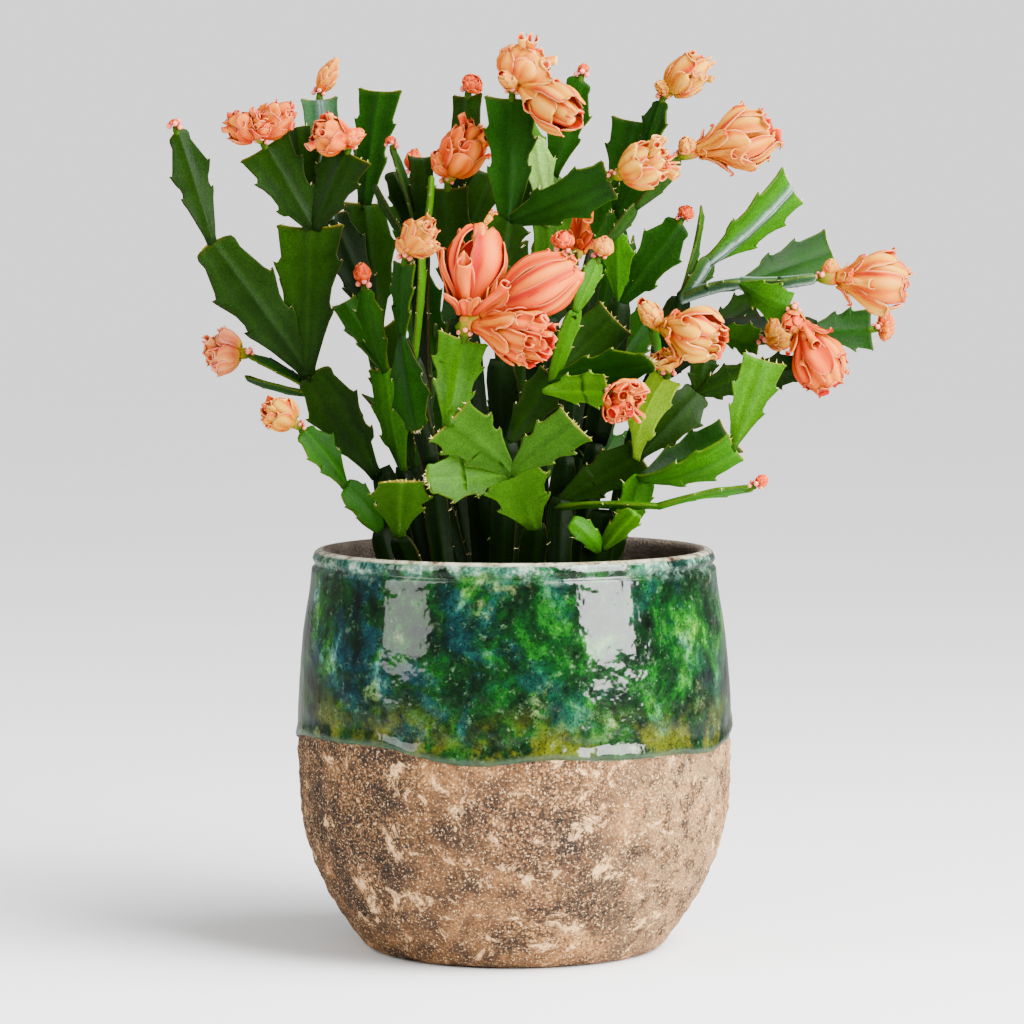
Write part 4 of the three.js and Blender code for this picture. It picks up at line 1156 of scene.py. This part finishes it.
RIGHT_TULIP = [
    petal(180, .10, .92, .84, .80), petal(122, .10, .95, .92, .50), petal(238, .10, .93, .90, .50),
    petal(30, .06, .99, 1.0, .62, wrap=.95), petal(62, .10, .93, 1.02, .48), petal(85, .2, .9, .8, .5),
    petal(-12, .12, .97, .97, .44, hook=.08), petal(-66, .10, .95, .98, .42, hook=.2, wrap=1.1),
    petal(-42, .25, 1.0, .78, .24, "strap", hook=.26), petal(-95, .10, .84, 1.0, .40, hook=.15),
    petal(150, .3, .98, .5, .4),
    [86, [[.08, .3], [.28, .80], [.46, 1.2], [.62, 1.42]], .27, "strap", 1.3, .03],
    petal(-70, .03, .30, 1.1, .34, "lance", flare=.2), petal(20, .02, .28, 1.08, .30, "lance"),
    petal(-20, .02, .34, 1.06, .26, "strap", flare=.1), spoon(-34, .50, .30, 1.06),
]
print("petals of the two:", len(LEFT_TULIP), len(RIGHT_TULIP))

# %% Two ruffled flowers
FRONT_RUFFLE = [
    *[petal(60 * k, .02, .46, 1.0, .52, "strap", ruffle=.04) for k in range(6)],
    *[petal(60 * k + 30, .10, .62, 1.06, .50, flare=.2, ruffle=.09) for k in range(6)],
    *[petal(45 * k + 10, .20, .84, .95, .44, flare=.3, hook=.16, ruffle=.1) for k in range(8)],
    *[petal(60 * k + 5, .30, .98, .62, .42, flare=.4, hook=.14, ruffle=.12) for k in range(6)],
    *[petal(90 * k + 25, .40, 1.0, .34, .36, flare=.3, ruffle=.12) for k in range(4)],
    spoon(-40, .9, .60, 1.22), spoon(6, .75, .78, 1.2), spoon(48, .6, .70, 1.2),
    spoon(-75, .6, .82, 1.1), spoon(100, .6, .62, 1.2),
]
CROWN_TONGUES = [
    *[petal(60 * k, .04, .5, 1.0, .5, "broad", ruffle=.03) for k in range(6)],
    petal(20, .1, .86, 1.0, .62, hook=.1), petal(-40, .1, .9, 1.0, .56, flare=.1, hook=.2),
    petal(75, .1, .98, .95, .46, flare=.25, hook=.2), petal(-95, .1, .92, .95, .5, flare=.15),
    petal(130, .1, .95, .9, .6), petal(190, .1, .95, .9, .6), petal(240, .1, .9, .9, .5),
    petal(0, .3, .99, .66, .4, hook=.2), petal(50, .3, 1.0, .6, .34, "strap", hook=-.2),
    petal(-60, .3, 1.02, .6, .34, "strap", hook=.3), petal(160, .3, 1.0, .5, .4, flare=.2),
    petal(-15, .4, 1.0, .3, .3, flare=.3), spoon(-60, .55, .5), spoon(30, .95, .4, 1.15),
]
OWN_PETALS = {
    ("blooms_crown", 1): CROWN_TONGUES,
    ("blooms_front", 0): LEFT_TULIP,
    ("blooms_front", 1): RIGHT_TULIP,
    ("blooms_front", 2): FRONT_RUFFLE,
}
print("flowers set by hand:", len(OWN_PETALS))


# %% Long flowers
# rows as whorls reads them
LONG_LAYERS = [
    (5, 0, 22, .03, (.22, .46), 1.06, (.05, .35), (0, .15), 1, .28, "lance", .9, .05),
    (6, 0, 14, .08, (.66, .9), 1.0, (-.05, .15), .16, .4, (.44, .60), "broad", 1.0, .03),
    (6, 30, 14, .14, (.88, 1.0), .88, (-.05, .15), .26, .6, (.34, .50), "strap", 1.1, .05),
    (5, 0, 20, .3, (.88, .98), .55, .05, (-.1, .25), 1, .30, "lance", 1.3, .07),
]


def long_petals(rng):
    """Layers on the egg: short flared ones at the neck, closed ones above, hooked narrow tips."""
    petals = whorls(rng, "egg", LONG_LAYERS)
    return petals + [spoon(rng.uniform(-50, 30), 0.5, rng.uniform(.3, .45), 1.06),
                     spoon(rng.uniform(30, 80), 0.45, rng.uniform(.5, .7), 1.08),
                     spoon(rng.uniform(120, 220), .5, .4, 1.06)]


print("layers of a long flower:", len(LONG_LAYERS))


# %% Full flowers
FULL_LAYERS = [(5, 0.03, 0.60, 1.0, 0.66, 0.03), (5, 0.08, 0.82, 0.90, 0.60, 0.05),
               (5, 0.2, 0.96, 0.66, 0.52, 0.08), (4, 0.35, 1.0, 0.36, 0.40, 0.10)]


def full_petals(rng, small):
    """Crumpled petals in four layers on the ball, each shorter layer more tightly folded.

    A layer is count, base, tip, layer, width and ruffle. A small flower has fewer, wider petals.
    """
    rows = []
    for order, (count, base, tip, layer, wide, ruffle) in enumerate(FULL_LAYERS):
        wide = wide * (1 + 0.2 * small)
        rows.append((count - small, 38 * order, 18, base, (0.85 * tip, 1.02 * tip), layer,
                     (-.08, .22), .2, .3, (0.85 * wide, 1.1 * wide), "broad", (.8, 1.5),
                     ruffle * (1 - 0.4 * small)))
    petals = whorls(rng, "ball", rows)
    count = 8 - 4 * small
    for k in range(count):
        petals.append(spoon(360 * k / count + rng.uniform(-16, 16), rng.uniform(0.5, 0.8),
                            rng.uniform(0.4, 0.9), rng.uniform(0.9, 1.12)))
    return petals


print("layers of a full flower:", len(FULL_LAYERS))


# %% Buds
BUD_LAYERS = [(5, 0.0, 0.45, 1.0, 0.62), (5, 0.08, 0.68, 0.97, 0.62), (5, 0.25, 0.88, 0.90, 0.56),
              (4, 0.45, 1.0, 0.74, 0.5)]


def bud_petals(rng):
    """Scales in four tiers that lie on the bud's form and close over its top."""
    return whorls(rng, "bud", [
        (count, 37 * order, 12, base, (0.93 * tip, 1.03 * tip), layer, (0.0, .14), 0, 1, wide,
         "broad", 1.0, .03)
        for order, (count, base, tip, layer, wide) in enumerate(BUD_LAYERS)])


print("tiers of a bud:", len(BUD_LAYERS))


# %% Beads
GOLDEN_ANGLE = 2.39996
BEAD, BEAD_TOP = "cc3430", "f49a80"


def beads(centre, spread, count, radius, rng):
    """Small round buds of later flowers, crowded round a point on golden-angle turns."""
    parts = []
    angle = np.linspace(0, np.pi, 6)[1:-1]
    for k in range(count):
        turn = GOLDEN_ANGLE * k
        up = 1 - 1.2 * (k + 0.5) / count
        ring = np.sqrt(1 - up * up)
        way = np.array([ring * np.cos(turn), ring * np.sin(turn), up])
        size = radius * rng.uniform(0.75, 1.2)
        shades = mix(srgb(BEAD), srgb(BEAD_TOP), np.linspace(0.0, 0.8, 4)) * rng.uniform(.8, 1.1)
        parts.append(bulb(centre + way * spread, unit(way + 1e-3), -size * np.cos(angle),
                          size * np.sin(angle), shades, 8))
    return parts


print("bead colours:", BEAD, BEAD_TOP)


# %% Bunches
OLIVE, OLIVE_DARK, OLIVE_BROWN, OLIVE_WARM = "505e06", "2e4804", "7e7410", "b06a18"
# rows and columns of a petal's grid, and its half thickness
LONG_GRID, FULL_GRID, BUD_GRID = (20, 15, 0.32), (12, 11, 0.32), (8, 7, 0.3)
BLOOM_SEED = 500


def bloom_parts(name, rng):
    """A bunch: the green seed bulb at the joint's tip, then each flower or bud along its axis."""
    stem, index, slot_tone, notes, rows = BLOOMS[name]
    tone = notes.get("look", slot_tone)
    tip, _, _, along, _ = joint_frame(STEMS[stem][-1][int(index)], 1.0)
    raised = tip + along * 2.2
    tips = place([row[:3] for row in rows])
    out = unit(tips[0] - raised)
    start = raised + out
    later = beads(raised, spread=2.4, count=6, radius=1.15, rng=rng)
    parts = [bulb(tip, along, [-2.5, -1, 0.5, 2.5], [1.3, 1.5, 1.5, 1.0], srgb([OLIVE_DARK] * 4))]
    for k, (row, end) in enumerate(zip(rows, tips)):
        foot = start if k == 0 else start + out * 2.8
        axis = unit(end - foot)
        length = np.linalg.norm(end - foot)
        own = OWN_PETALS.get((name, k))
        parts += bloom_body(row[4], foot, axis, length, row[3], tone, own, rng)
    return parts + later


# %% One flower or bud
def bloom_body(kind, foot, axis, length, width, tone, own, rng):
    """One flower or bud, with its bulb, bracts and petals; own is a petal list given one by one.

    An open flower's petals start above its bulb, so that the bulb shows.
    """
    _, flush_and_shade, _, hollow, _ = PETAL_TONES[tone]
    if kind == BUD:
        core = bulb(foot, axis, np.array([-.04, .06, .3, .6, .8, .88]) * length,
                    np.array([.12, .26, .40, .36, .20, .06]) * width,
                    srgb([OLIVE] + [flush_and_shade] * 5), 12)
        return [core] + make_flower(bud_petals(rng), foot, axis, length, width, tone, rng,
                                    BUD_GRID)
    neck = max(min(2.8, 0.14 * width), 2.0)
    size = max(5.0, 0.15 * length) if kind == LONG else 3.6   # height of the seed bulb
    core = bulb(foot, axis, np.array([-.6, -.2, .35, .75, 1.05]) * size,
                np.array([.40, .80, 1.0, 1.0, .7]) * neck,
                srgb([OLIVE_DARK, OLIVE, OLIVE_BROWN, OLIVE_WARM, flush_and_shade]))
    inside = bulb(foot, axis, np.array([.1, .3, .5, .62]) * length,
                  np.array([.05, .16, .15, .05]) * width, srgb([hollow] * 4), 10)
    bracts = whorls(rng, "egg", [(4, 0, 20, .05, (.14, .24), 1.1, (.1, .3), 0, 1, .16, "lance",
                                  1.0, 0.0)])
    bare = 0.11 if kind == LONG else 0.07
    foot = foot + axis * bare * length
    length = length * (1 - bare)
    if kind == LONG:
        petals, grid = bracts + (own or long_petals(rng)), LONG_GRID
    else:
        petals, grid = own or full_petals(rng, int(width < 17)), FULL_GRID
    return [core, inside] + make_flower(petals, foot, axis, length, width, tone, rng, grid)


# %% Blooms on the plant
def make_blooms():
    """Every bunch as one piece that replaces its node."""
    faces = 0
    for order, (name, (_, _, tone, _, _)) in enumerate(BLOOMS.items()):
        parts = bloom_parts(name, np.random.default_rng(BLOOM_SEED + order))
        faces += make_piece(name + "_petals", parts, PETAL, name)
    return faces


print("bloom faces:", make_blooms())

# %% [markdown]
# ## The pot
# The pot was thrown on a wheel, so it is a profile carried round an axis. Its glaze was poured
# and stopped in an uneven line, which a plain lathe shape can't follow. So the profile's knots
# are functions of the angle: the two rows at the glaze's lip rise and fall with its edge, and the
# rows between the knots are smooth curves through them.

# %% Pot profile
def glaze_edge(angle):
    """The height of the glaze's lower edge: a level plus three waves round the pot."""
    return (89.5 + 2.2 * np.sin(2 * angle + 0.6) + 1.5 * np.sin(5 * angle + 1.1)
            + 0.9 * np.sin(9 * angle + 2.0))


def pot_knots(angle):
    """Radius and height of each knot, from the base's middle, up outside and down inside."""
    fine = 0.5 * np.sin(17 * angle + 1.0) + 0.35 * np.sin(31 * angle) + 0.2 * np.sin(53 * angle)
    edge = glaze_edge(angle) + fine
    knots = [[0, 0], [58.5, 0], [60.5, 0.2], [63.6, 2.2], [69, 10], [76.4, 21], [83, 35],
             [87.6, 50], [89.6, 66], [89.95, edge - 4.0], [90.0, edge - 0.9],
             [90.8, edge - 0.35], [91.1, edge + 0.7], [90.9, edge + 2.2], [90.35, edge + 5],
             [90.1, edge + 13], [88, 130], [84.9, 150], [84, 158.4], [82.8, 159.4], [82.6, 160.2],
             [83.2, 161.2], [83.7, 162.2], [82.6, 165.0], [81.4, 165.8], [80.1, 166],
             [78.3, 165.9], [76.9, 165.3], [75.8, 163.8], [75.5, 162], [76.2, 150], [77.4, 136],
             [80.2, 110], [81.2, 96], [78, 44], [57, 10], [0, 10]]
    ones = np.ones_like(angle)
    return np.array([[r * ones, z * ones] for r, z in knots])


def curve_through(knots, steps):
    """Catmull-Rom curves: each span leaves a knot along the line between its two neighbours."""
    before = np.concatenate([knots[:1], knots[:-1]])
    after = np.concatenate([knots[1:], knots[-1:]])
    slope = (after - before) / 2
    rows = []
    for k, count in enumerate(steps):
        t = np.arange(count)[:, None, None] / count
        a, b = knots[k], knots[k + 1]
        gap = np.hypot(*(b - a)) + 1e-6
        start = slope[k] * np.minimum(1, gap / (np.hypot(*slope[k]) + 1e-6))
        end = slope[k + 1] * np.minimum(1, gap / (np.hypot(*slope[k + 1]) + 1e-6))
        rows.append((2 * t ** 3 - 3 * t ** 2 + 1) * a + (t ** 3 - 2 * t ** 2 + t) * start
                    + (3 * t ** 2 - 2 * t ** 3) * b + (t ** 3 - t ** 2) * end)
    return np.concatenate(rows + [knots[-1][None]])


POT_STEPS = [6, 1, 2, 4, 5, 6, 6, 6, 6, 2, 2, 2, 2, 2, 4, 10, 8, 5, 2, 1, 1, 1, 3, 1, 1, 2, 1, 2, 1,
             4, 4, 6, 4, 10, 8, 8]
AROUND = 400
POT_FLOOR = 10
POT_SEED = 3
print("rings of the pot:", sum(POT_STEPS))


# %% Pot
def make_pot():
    """Rings with rising throwing marks and a slow unevenness; the base's middle is one point.

    The skin colour stores the height above the glaze's edge as red, and the inside as green.
    """
    angle = np.linspace(0, 2 * np.pi, AROUND, endpoint=False)
    rows = curve_through(pot_knots(angle), POT_STEPS)[1:-1]
    radius, height = rows[:, 0], rows[:, 1]
    bare = height - glaze_edge(angle)[None]
    outside = np.arange(len(rows))[:, None] < np.argmax(height[:, 0]) + 1
    marks = 0.22 * np.sin(height * 0.9 + 1.5 * np.sin(angle)) + 0.15 * np.sin(height * 2.1 + angle)
    lumps = (0.25 * np.sin(11 * angle + height * 0.31) * np.sin(7 * angle - height * 0.23)
             + 0.2 * np.sin(29 * angle + height * 0.5) * np.sin(23 * angle - 0.7 * height))
    rough = np.clip(-bare / 6, 0, 1) * smooth(height, 1, 8)
    slow = 0.35 * np.sin(2 * angle + 0.5) + 0.2 * np.sin(3 * angle + height * 0.02)
    radius = radius + (marks + lumps) * rough + slow * smooth(height, 2, 30) * (radius > 30)
    dents = (np.sin(height * 0.42 + 3 * np.sin(5 * angle)) * np.sin(23 * angle + height * 0.2)
             + 0.7 * np.sin(height * 0.8 - 2 * angle) * np.sin(41 * angle + 1.5))
    radius = radius + 0.045 * dents * outside * (1 - rough)
    grit = np.random.default_rng(POT_SEED).normal(0, 0.2, radius.shape)
    grit = (grit + np.roll(grit, 1, axis=0) + np.roll(grit, 1, axis=1)) / 1.7
    radius = radius + grit * rough * outside
    points = np.stack([radius * np.cos(angle), radius * np.sin(angle), height], axis=-1)
    inside = np.broadcast_to(1.0 - outside, bare.shape)
    skin = np.stack([0.5 + bare / 200, inside, np.zeros_like(bare)], axis=-1).reshape(-1, 3)
    body = tube(points, skin, hubs=[[0, 0, 0], [0, 0, POT_FLOOR]])
    return make_piece("glazed_pot", [body], pot_finish(), "pot")


# %% [markdown]
# ## The pot's finish
# One material holds the glaze and the bare clay, because the glaze's edge crosses the mesh. The
# mesh stores how far each point lies above the edge, and the material switches there. The glaze
# breaks from deep green to teal and olive, as a copper glaze does where it runs thick or thin.

# %% Pot finish
# the stored height is 0.5 + millimetres above the edge / 200; the other heights are in metres
EDGE_START, EDGE_END = 0.5 - 0.0055, 0.5 - 0.0035
RIM_BAND, RIM_CREST = (0.156, 0.1625), (0.1644, 0.1656)


def pot_finish():
    """Where the stored height above the edge is positive the glaze shows, elsewhere the clay."""
    n = Nodes("green_glaze_and_bare_clay")
    store = n.node("ShaderNodeSeparateColor", {}, {"Color": n.skin()}).outputs
    above = n.span(store["Red"], EDGE_START, EDGE_END)
    inner = n.blend(n.noise(60.0, 4.0), srgb("4a4038"), srgb("6d5f50"))
    colour = n.blend(above, clay_colour(n), glaze_colour(n, n.axis("Z"), store["Red"]))
    colour = n.blend(store["Green"], colour, inner)
    shiny = n.times(above, n.math("SUBTRACT", 1.0, store["Green"]))
    rough = n.span(n.cells(620.0), 0.0, 0.7, 1.0, 0.0, "LINEAR")
    grain = n.math("ADD", rough, n.times(n.noise(220.0, 6.0, 0.75), 2.2))
    relief = n.times(grain, n.math("SUBTRACT", 1.0, shiny))
    wobble = n.times(n.noise(70.0, 3.0), n.times(shiny, 1.2))
    return n.finish({
        "Base Color": colour, "Roughness": n.span(shiny, 0.0, 1.0, 0.85, 0.09, "LINEAR"),
        "Normal": n.bump(n.math("ADD", relief, wobble), 0.7, 0.0011),
        "Specular IOR Level": 0.45, "IOR": 1.52})


# %% Glaze
def glaze_colour(n, height, above):
    """Dark green clouded by brighter green, teal and olive, with pale curds and a milky rim."""
    clouds = n.noise(52.0, 9.0, 0.70, 0.25, n.stretched(n.place, 1.0, 1.0, 0.8))
    colour = n.ramp(clouds, (0.34, "010702"), (0.44, "021a06"), (0.52, "053009"),
                    (0.59, "0f4a0c"), (0.67, "38701a"), (0.76, "86a84a"))
    blue = n.times(n.span(n.noise(44.0, 7.0, 0.65, 0.3), 0.50, 0.62),
                   n.span(n.axis("X"), -0.085, 0.04, 0.85, 0.3))
    teal = n.ramp(clouds, (0.36, "021016"), (0.55, "0a3640"), (0.70, "74a89c"))
    colour = n.blend(blue, colour, teal)
    low = n.span(above, 0.5, 0.62, 1.0, 0.0)
    # painted shade: the glaze is darkened towards its lower edge
    colour = n.lay(colour, low, 0.6, "041404")
    olive = n.times(low, n.patches(48.0, 6.0, 0.65, 0.45, 0.58))
    colour = n.lay(colour, olive, 0.75, "4f5208")
    curds = n.patches(300.0, 8.0, 0.75, 0.55, 0.72)
    colour = n.lay(colour, curds, 0.3, "7fa876")
    colour = n.darken(colour, n.patches(170.0, 7.0, 0.72, 0.36, 0.64, 0.5, 1.35))
    pale = n.times(n.patches(27.0, 4.0, 0.6, 0.60, 0.72), n.patches(230.0, 8.0, 0.75, 0.44, 0.6))
    colour = n.lay(colour, pale, 0.5, "a4c078")
    colour = n.darken(colour, n.patches(1000.0, 3.0, 0.6, 0.32, 0.5, 0.4, 1.1))
    band = n.times(n.span(height, *RIM_BAND), n.patches(95.0, 8.0, 0.7, 0.42, 0.62))
    milk = n.ramp(n.noise(260.0, 8.0, 0.75), (0.36, "0a3436"), (0.48, "3f7460"),
                  (0.58, "94b49c"), (0.68, "d5dcc8"))
    colour = n.blend(n.times(band, 0.75), colour, milk)
    worn = n.ramp(n.noise(180.0, 8.0, 0.75), (0.38, "4a2010"), (0.45, "8f8264"), (0.56, "c8cab0"))
    colour = n.blend(n.times(n.span(height, *RIM_CREST), 0.85), colour, worn)
    return n.lay(colour, n.span(above, 0.5, 0.512, 1.0, 0.0), 0.6, "384a38")


# %% Clay
def clay_colour(n):
    """Tan stoneware under a crust of brown and grey grains, with cream scuffs."""
    colour = n.ramp(n.noise(40.0, 9.0, 0.75, 0.3), (0.36, "3a2210"), (0.45, "5c3a1a"),
                    (0.53, "84562a"), (0.66, "b88042"))
    crust = n.span(n.noise(24.0, 6.0, 0.65, 0.4), 0.38, 0.55)
    spotted = n.darken(colour, n.span(n.cells(700.0), 0.2, 0.6, 1.25, 0.12, "LINEAR"))
    colour = n.blend(n.times(crust, 0.9), colour, spotted)
    colour = n.lay(colour, n.patches(900.0, 4.0, 0.7, 0.52, 0.60), 0.7, "1d1610")
    scuffs = n.span(n.noise(80.0, 9.0, 0.75, 0.6), 0.55, 0.63)
    colour = n.lay(colour, scuffs, 0.8, "f8c486")
    # painted light: cream patches laid only on the pot's right side, where the lamps fall
    painted_light_patches = n.patches(120.0, 8.0, 0.75, 0.42, 0.54)
    colour = n.lay(colour, painted_light_patches, n.span(n.axis("X"), 0.02, 0.08, 0.0, 0.25), "f0bc7c")
    return n.lay(colour, n.patches(1100.0, 3.0, 0.6, 0.58, 0.66), 0.7, "f2cc94")


print("pot faces:", make_pot())

# %% [markdown]
# ## Soil
# Potting soil is crumbs of bark and peat. A bumpy closed disc makes its body, and some hundreds
# of small lumps lie on it. Each lump is one low ball with its own seeded dents.

# %% Soil bed
SOIL_TOP, SOIL_DOME, SOIL_EDGE = 142.0, 2.2, 75.4
BED_TONES, LUMP_TONES = ["2a211b", "4a3a2c"], ["2b221b", "7a5f44"]
SOIL_SEED = 11


def soil_height(x, y):
    """A dome that falls with the square of the radius, plus crossed waves for the crumb."""
    dome = SOIL_DOME * (1 - (x ** 2 + y ** 2) / SOIL_EDGE ** 2)
    crumb = (0.5 * np.sin(x * 0.31 + 1) * np.sin(y * 0.27) + 0.35 * np.sin(x * 0.9 + y * 0.5)
             + 0.25 * np.sin(y * 1.3 - x * 0.8 + 2))
    return SOIL_TOP + dome + crumb


def make_soil(rng):
    """Top rings over the height function, a straight side, and a flat bottom."""
    angle = np.linspace(0, 2 * np.pi, 120, endpoint=False)
    radius = np.array([70, 74, SOIL_EDGE, SOIL_EDGE, *np.linspace(73, 1.2, 34)])[:, None]
    x, y = radius * np.cos(angle), radius * np.sin(angle)
    z = soil_height(x, y)
    z[:3] = np.array([124, 124, 126])[:, None]
    shade = mix(*srgb(BED_TONES), 0.5 + 0.5 * np.sin(x * 1.7) * np.sin(y * 1.9))
    body = tube(np.stack([x, y, z], axis=-1), shade.reshape(-1, 3))
    return make_piece("soil_bed", [body, soil_lumps(rng)], soil_finish(), "soil")


# %% Soil crumbs
def soil_lumps(rng, count=620):
    """Balls of 5 rings x 7 points, each squashed, turned and dented, sown evenly on the bed."""
    far = SOIL_EDGE * np.sqrt(rng.uniform(0, 0.96, count))
    turn = rng.uniform(0, 2 * np.pi, count)
    x, y = far * np.cos(turn), far * np.sin(turn)
    size = rng.gamma(3.0, 0.42, count) + 0.5
    centre = np.stack([x, y, soil_height(x, y) + 0.25 * size], axis=-1)
    polar = np.radians([22, 56, 90, 124, 158])[:, None]
    angle = np.linspace(0, 2 * np.pi, 7, endpoint=False)[None, :]
    ball = np.stack([np.sin(polar) * np.cos(angle), np.sin(polar) * np.sin(angle),
                     np.cos(polar) + 0 * angle], axis=-1).reshape(35, 3)
    ball = np.concatenate([ball, [[0, 0, 1.0], [0, 0, -1.0]]])
    ball = ball * rng.uniform(0.75, 1.2, (count, 37, 1)) * rng.uniform(0.6, 1.4, (count, 1, 3))
    spin = rng.uniform(0, 2 * np.pi, count)[:, None]
    across = ball[..., 0] * np.cos(spin) - ball[..., 1] * np.sin(spin)
    along = ball[..., 0] * np.sin(spin) + ball[..., 1] * np.cos(spin)
    points = np.stack([across, along, ball[..., 2] * 0.7], axis=-1) * size[:, None, None]
    points = (points + centre[:, None]).reshape(-1, 3)
    ring = np.arange(35).reshape(5, 7)
    one = np.concatenate([grid_quads(closed(ring))[:, ::-1], fan(ring[0], 35),
                          fan(ring[-1, ::-1], 36)])
    faces = np.where(one < 0, -1, one + 37 * np.arange(count)[:, None, None]).reshape(-1, 4)
    tone = mix(*srgb(LUMP_TONES), rng.uniform(0, 1, count) ** 2)
    return points, faces, np.zeros((len(points), 2)), np.repeat(tone, 37, axis=0)


# %% Soil finish
def soil_finish():
    """The stored shade x fibre noise, fully rough with a coarse bump."""
    n = Nodes("potting_soil")
    fibre = n.noise(420.0, 6.0, 0.75)
    colour = n.skin_times(n.span(fibre, 0.3, 0.7, 0.45, 1.5, "LINEAR"))
    return n.finish({"Base Color": colour, "Normal": n.bump(fibre, 0.8, 0.0008),
                     "Roughness": 0.95})


print("soil faces:", make_soil(np.random.default_rng(SOIL_SEED)))

# %% [markdown]
# ## Floor and light
# The photograph was lit in a white studio: a large soft box at the front right that mirrors as a
# bright window in the glaze, a dim one at the front left, and white all round. A big pale floor
# catches the soft shadow. A sunlit white floor would lay a grey veil on the lower glaze, so the
# floor mirrors as a mid grey, as a photographer's grey card laid before the pot does.

# %% Floor
FLOOR_REACH, FLOOR_DROP = 6.0, 0.0004
FLOOR_TONES, MIRRORED_TONE = ("fafafa", "fdfdfd"), "848484"


def make_floor():
    """One large square at the height of the pot's base, pale to look at and grey to mirrors."""
    mesh = bpy.data.meshes.new("studio_floor")
    r = FLOOR_REACH
    mesh.from_pydata([(-r, -r, 0), (r, -r, 0), (r, r, 0), (-r, r, 0)], [], [(0, 1, 2, 3)])
    n = Nodes("pale_floor")
    shade = n.ramp(n.noise(3.0, 2.0), (0.3, FLOOR_TONES[0]), (0.7, FLOOR_TONES[1]))
    mirrored = n.node("ShaderNodeLightPath", {}, {}).outputs["Is Glossy Ray"]
    shade = n.blend(mirrored, shade, srgb(MIRRORED_TONE))
    mesh.materials.append(n.finish({"Base Color": shade, "Roughness": 0.9}))
    floor = put("studio_floor", mesh)
    floor.location.z = -FLOOR_DROP


make_floor()
print("floor, metres across:", 2 * FLOOR_REACH)


# %% Lights
def lamp(name, kind, azimuth, elevation, distance, strength, **settings):
    """A light on a sphere round the plant, turned to face it. Azimuth 0 is the camera's."""
    a, e = np.radians([azimuth, elevation])
    way = Vector((np.sin(a) * np.cos(e), -np.cos(a) * np.cos(e), np.sin(e)))
    data = bpy.data.lights.new(name, kind)
    data.energy = strength
    for key, value in settings.items():
        setattr(data, key, value)
    light = put(name, data)
    light.location = Vector((0, 0, 0.16)) + way * distance
    light.rotation_euler = way.to_track_quat("Z", "Y").to_euler()


def make_world(lighting, backdrop):
    """White all round: the backdrop that the camera sees is brighter than what lights the plant."""
    world = bpy.data.worlds.new("white_studio")
    world.use_nodes = True
    tree = world.node_tree
    background = tree.nodes["Background"]
    background.inputs["Color"].default_value = (1, 1, 1, 1)
    path = tree.nodes.new("ShaderNodeLightPath")
    level = tree.nodes.new("ShaderNodeMapRange")
    level.inputs["To Min"].default_value = lighting
    level.inputs["To Max"].default_value = backdrop
    tree.links.new(path.outputs["Is Camera Ray"], level.inputs["Value"])
    tree.links.new(level.outputs["Result"], background.inputs["Strength"])
    bpy.context.scene.world = world


WINDOW = {"kind": "AREA", "shape": "RECTANGLE"}
lamp("window_right", azimuth=53, elevation=29, distance=1.2, strength=70, size=0.70, size_y=1.30,
     **WINDOW)
lamp("window_left", azimuth=-60, elevation=28, distance=1.3, strength=13, size=0.62, size_y=1.25,
     **WINDOW)
lamp("top_light", azimuth=10, elevation=74, distance=1.4, strength=8, size=1.6, size_y=1.6,
     **WINDOW)
lamp("side_light", "SUN", azimuth=78, elevation=55, distance=2.0, strength=5.0,
     angle=np.radians(40))
make_world(0.26, 1.46)
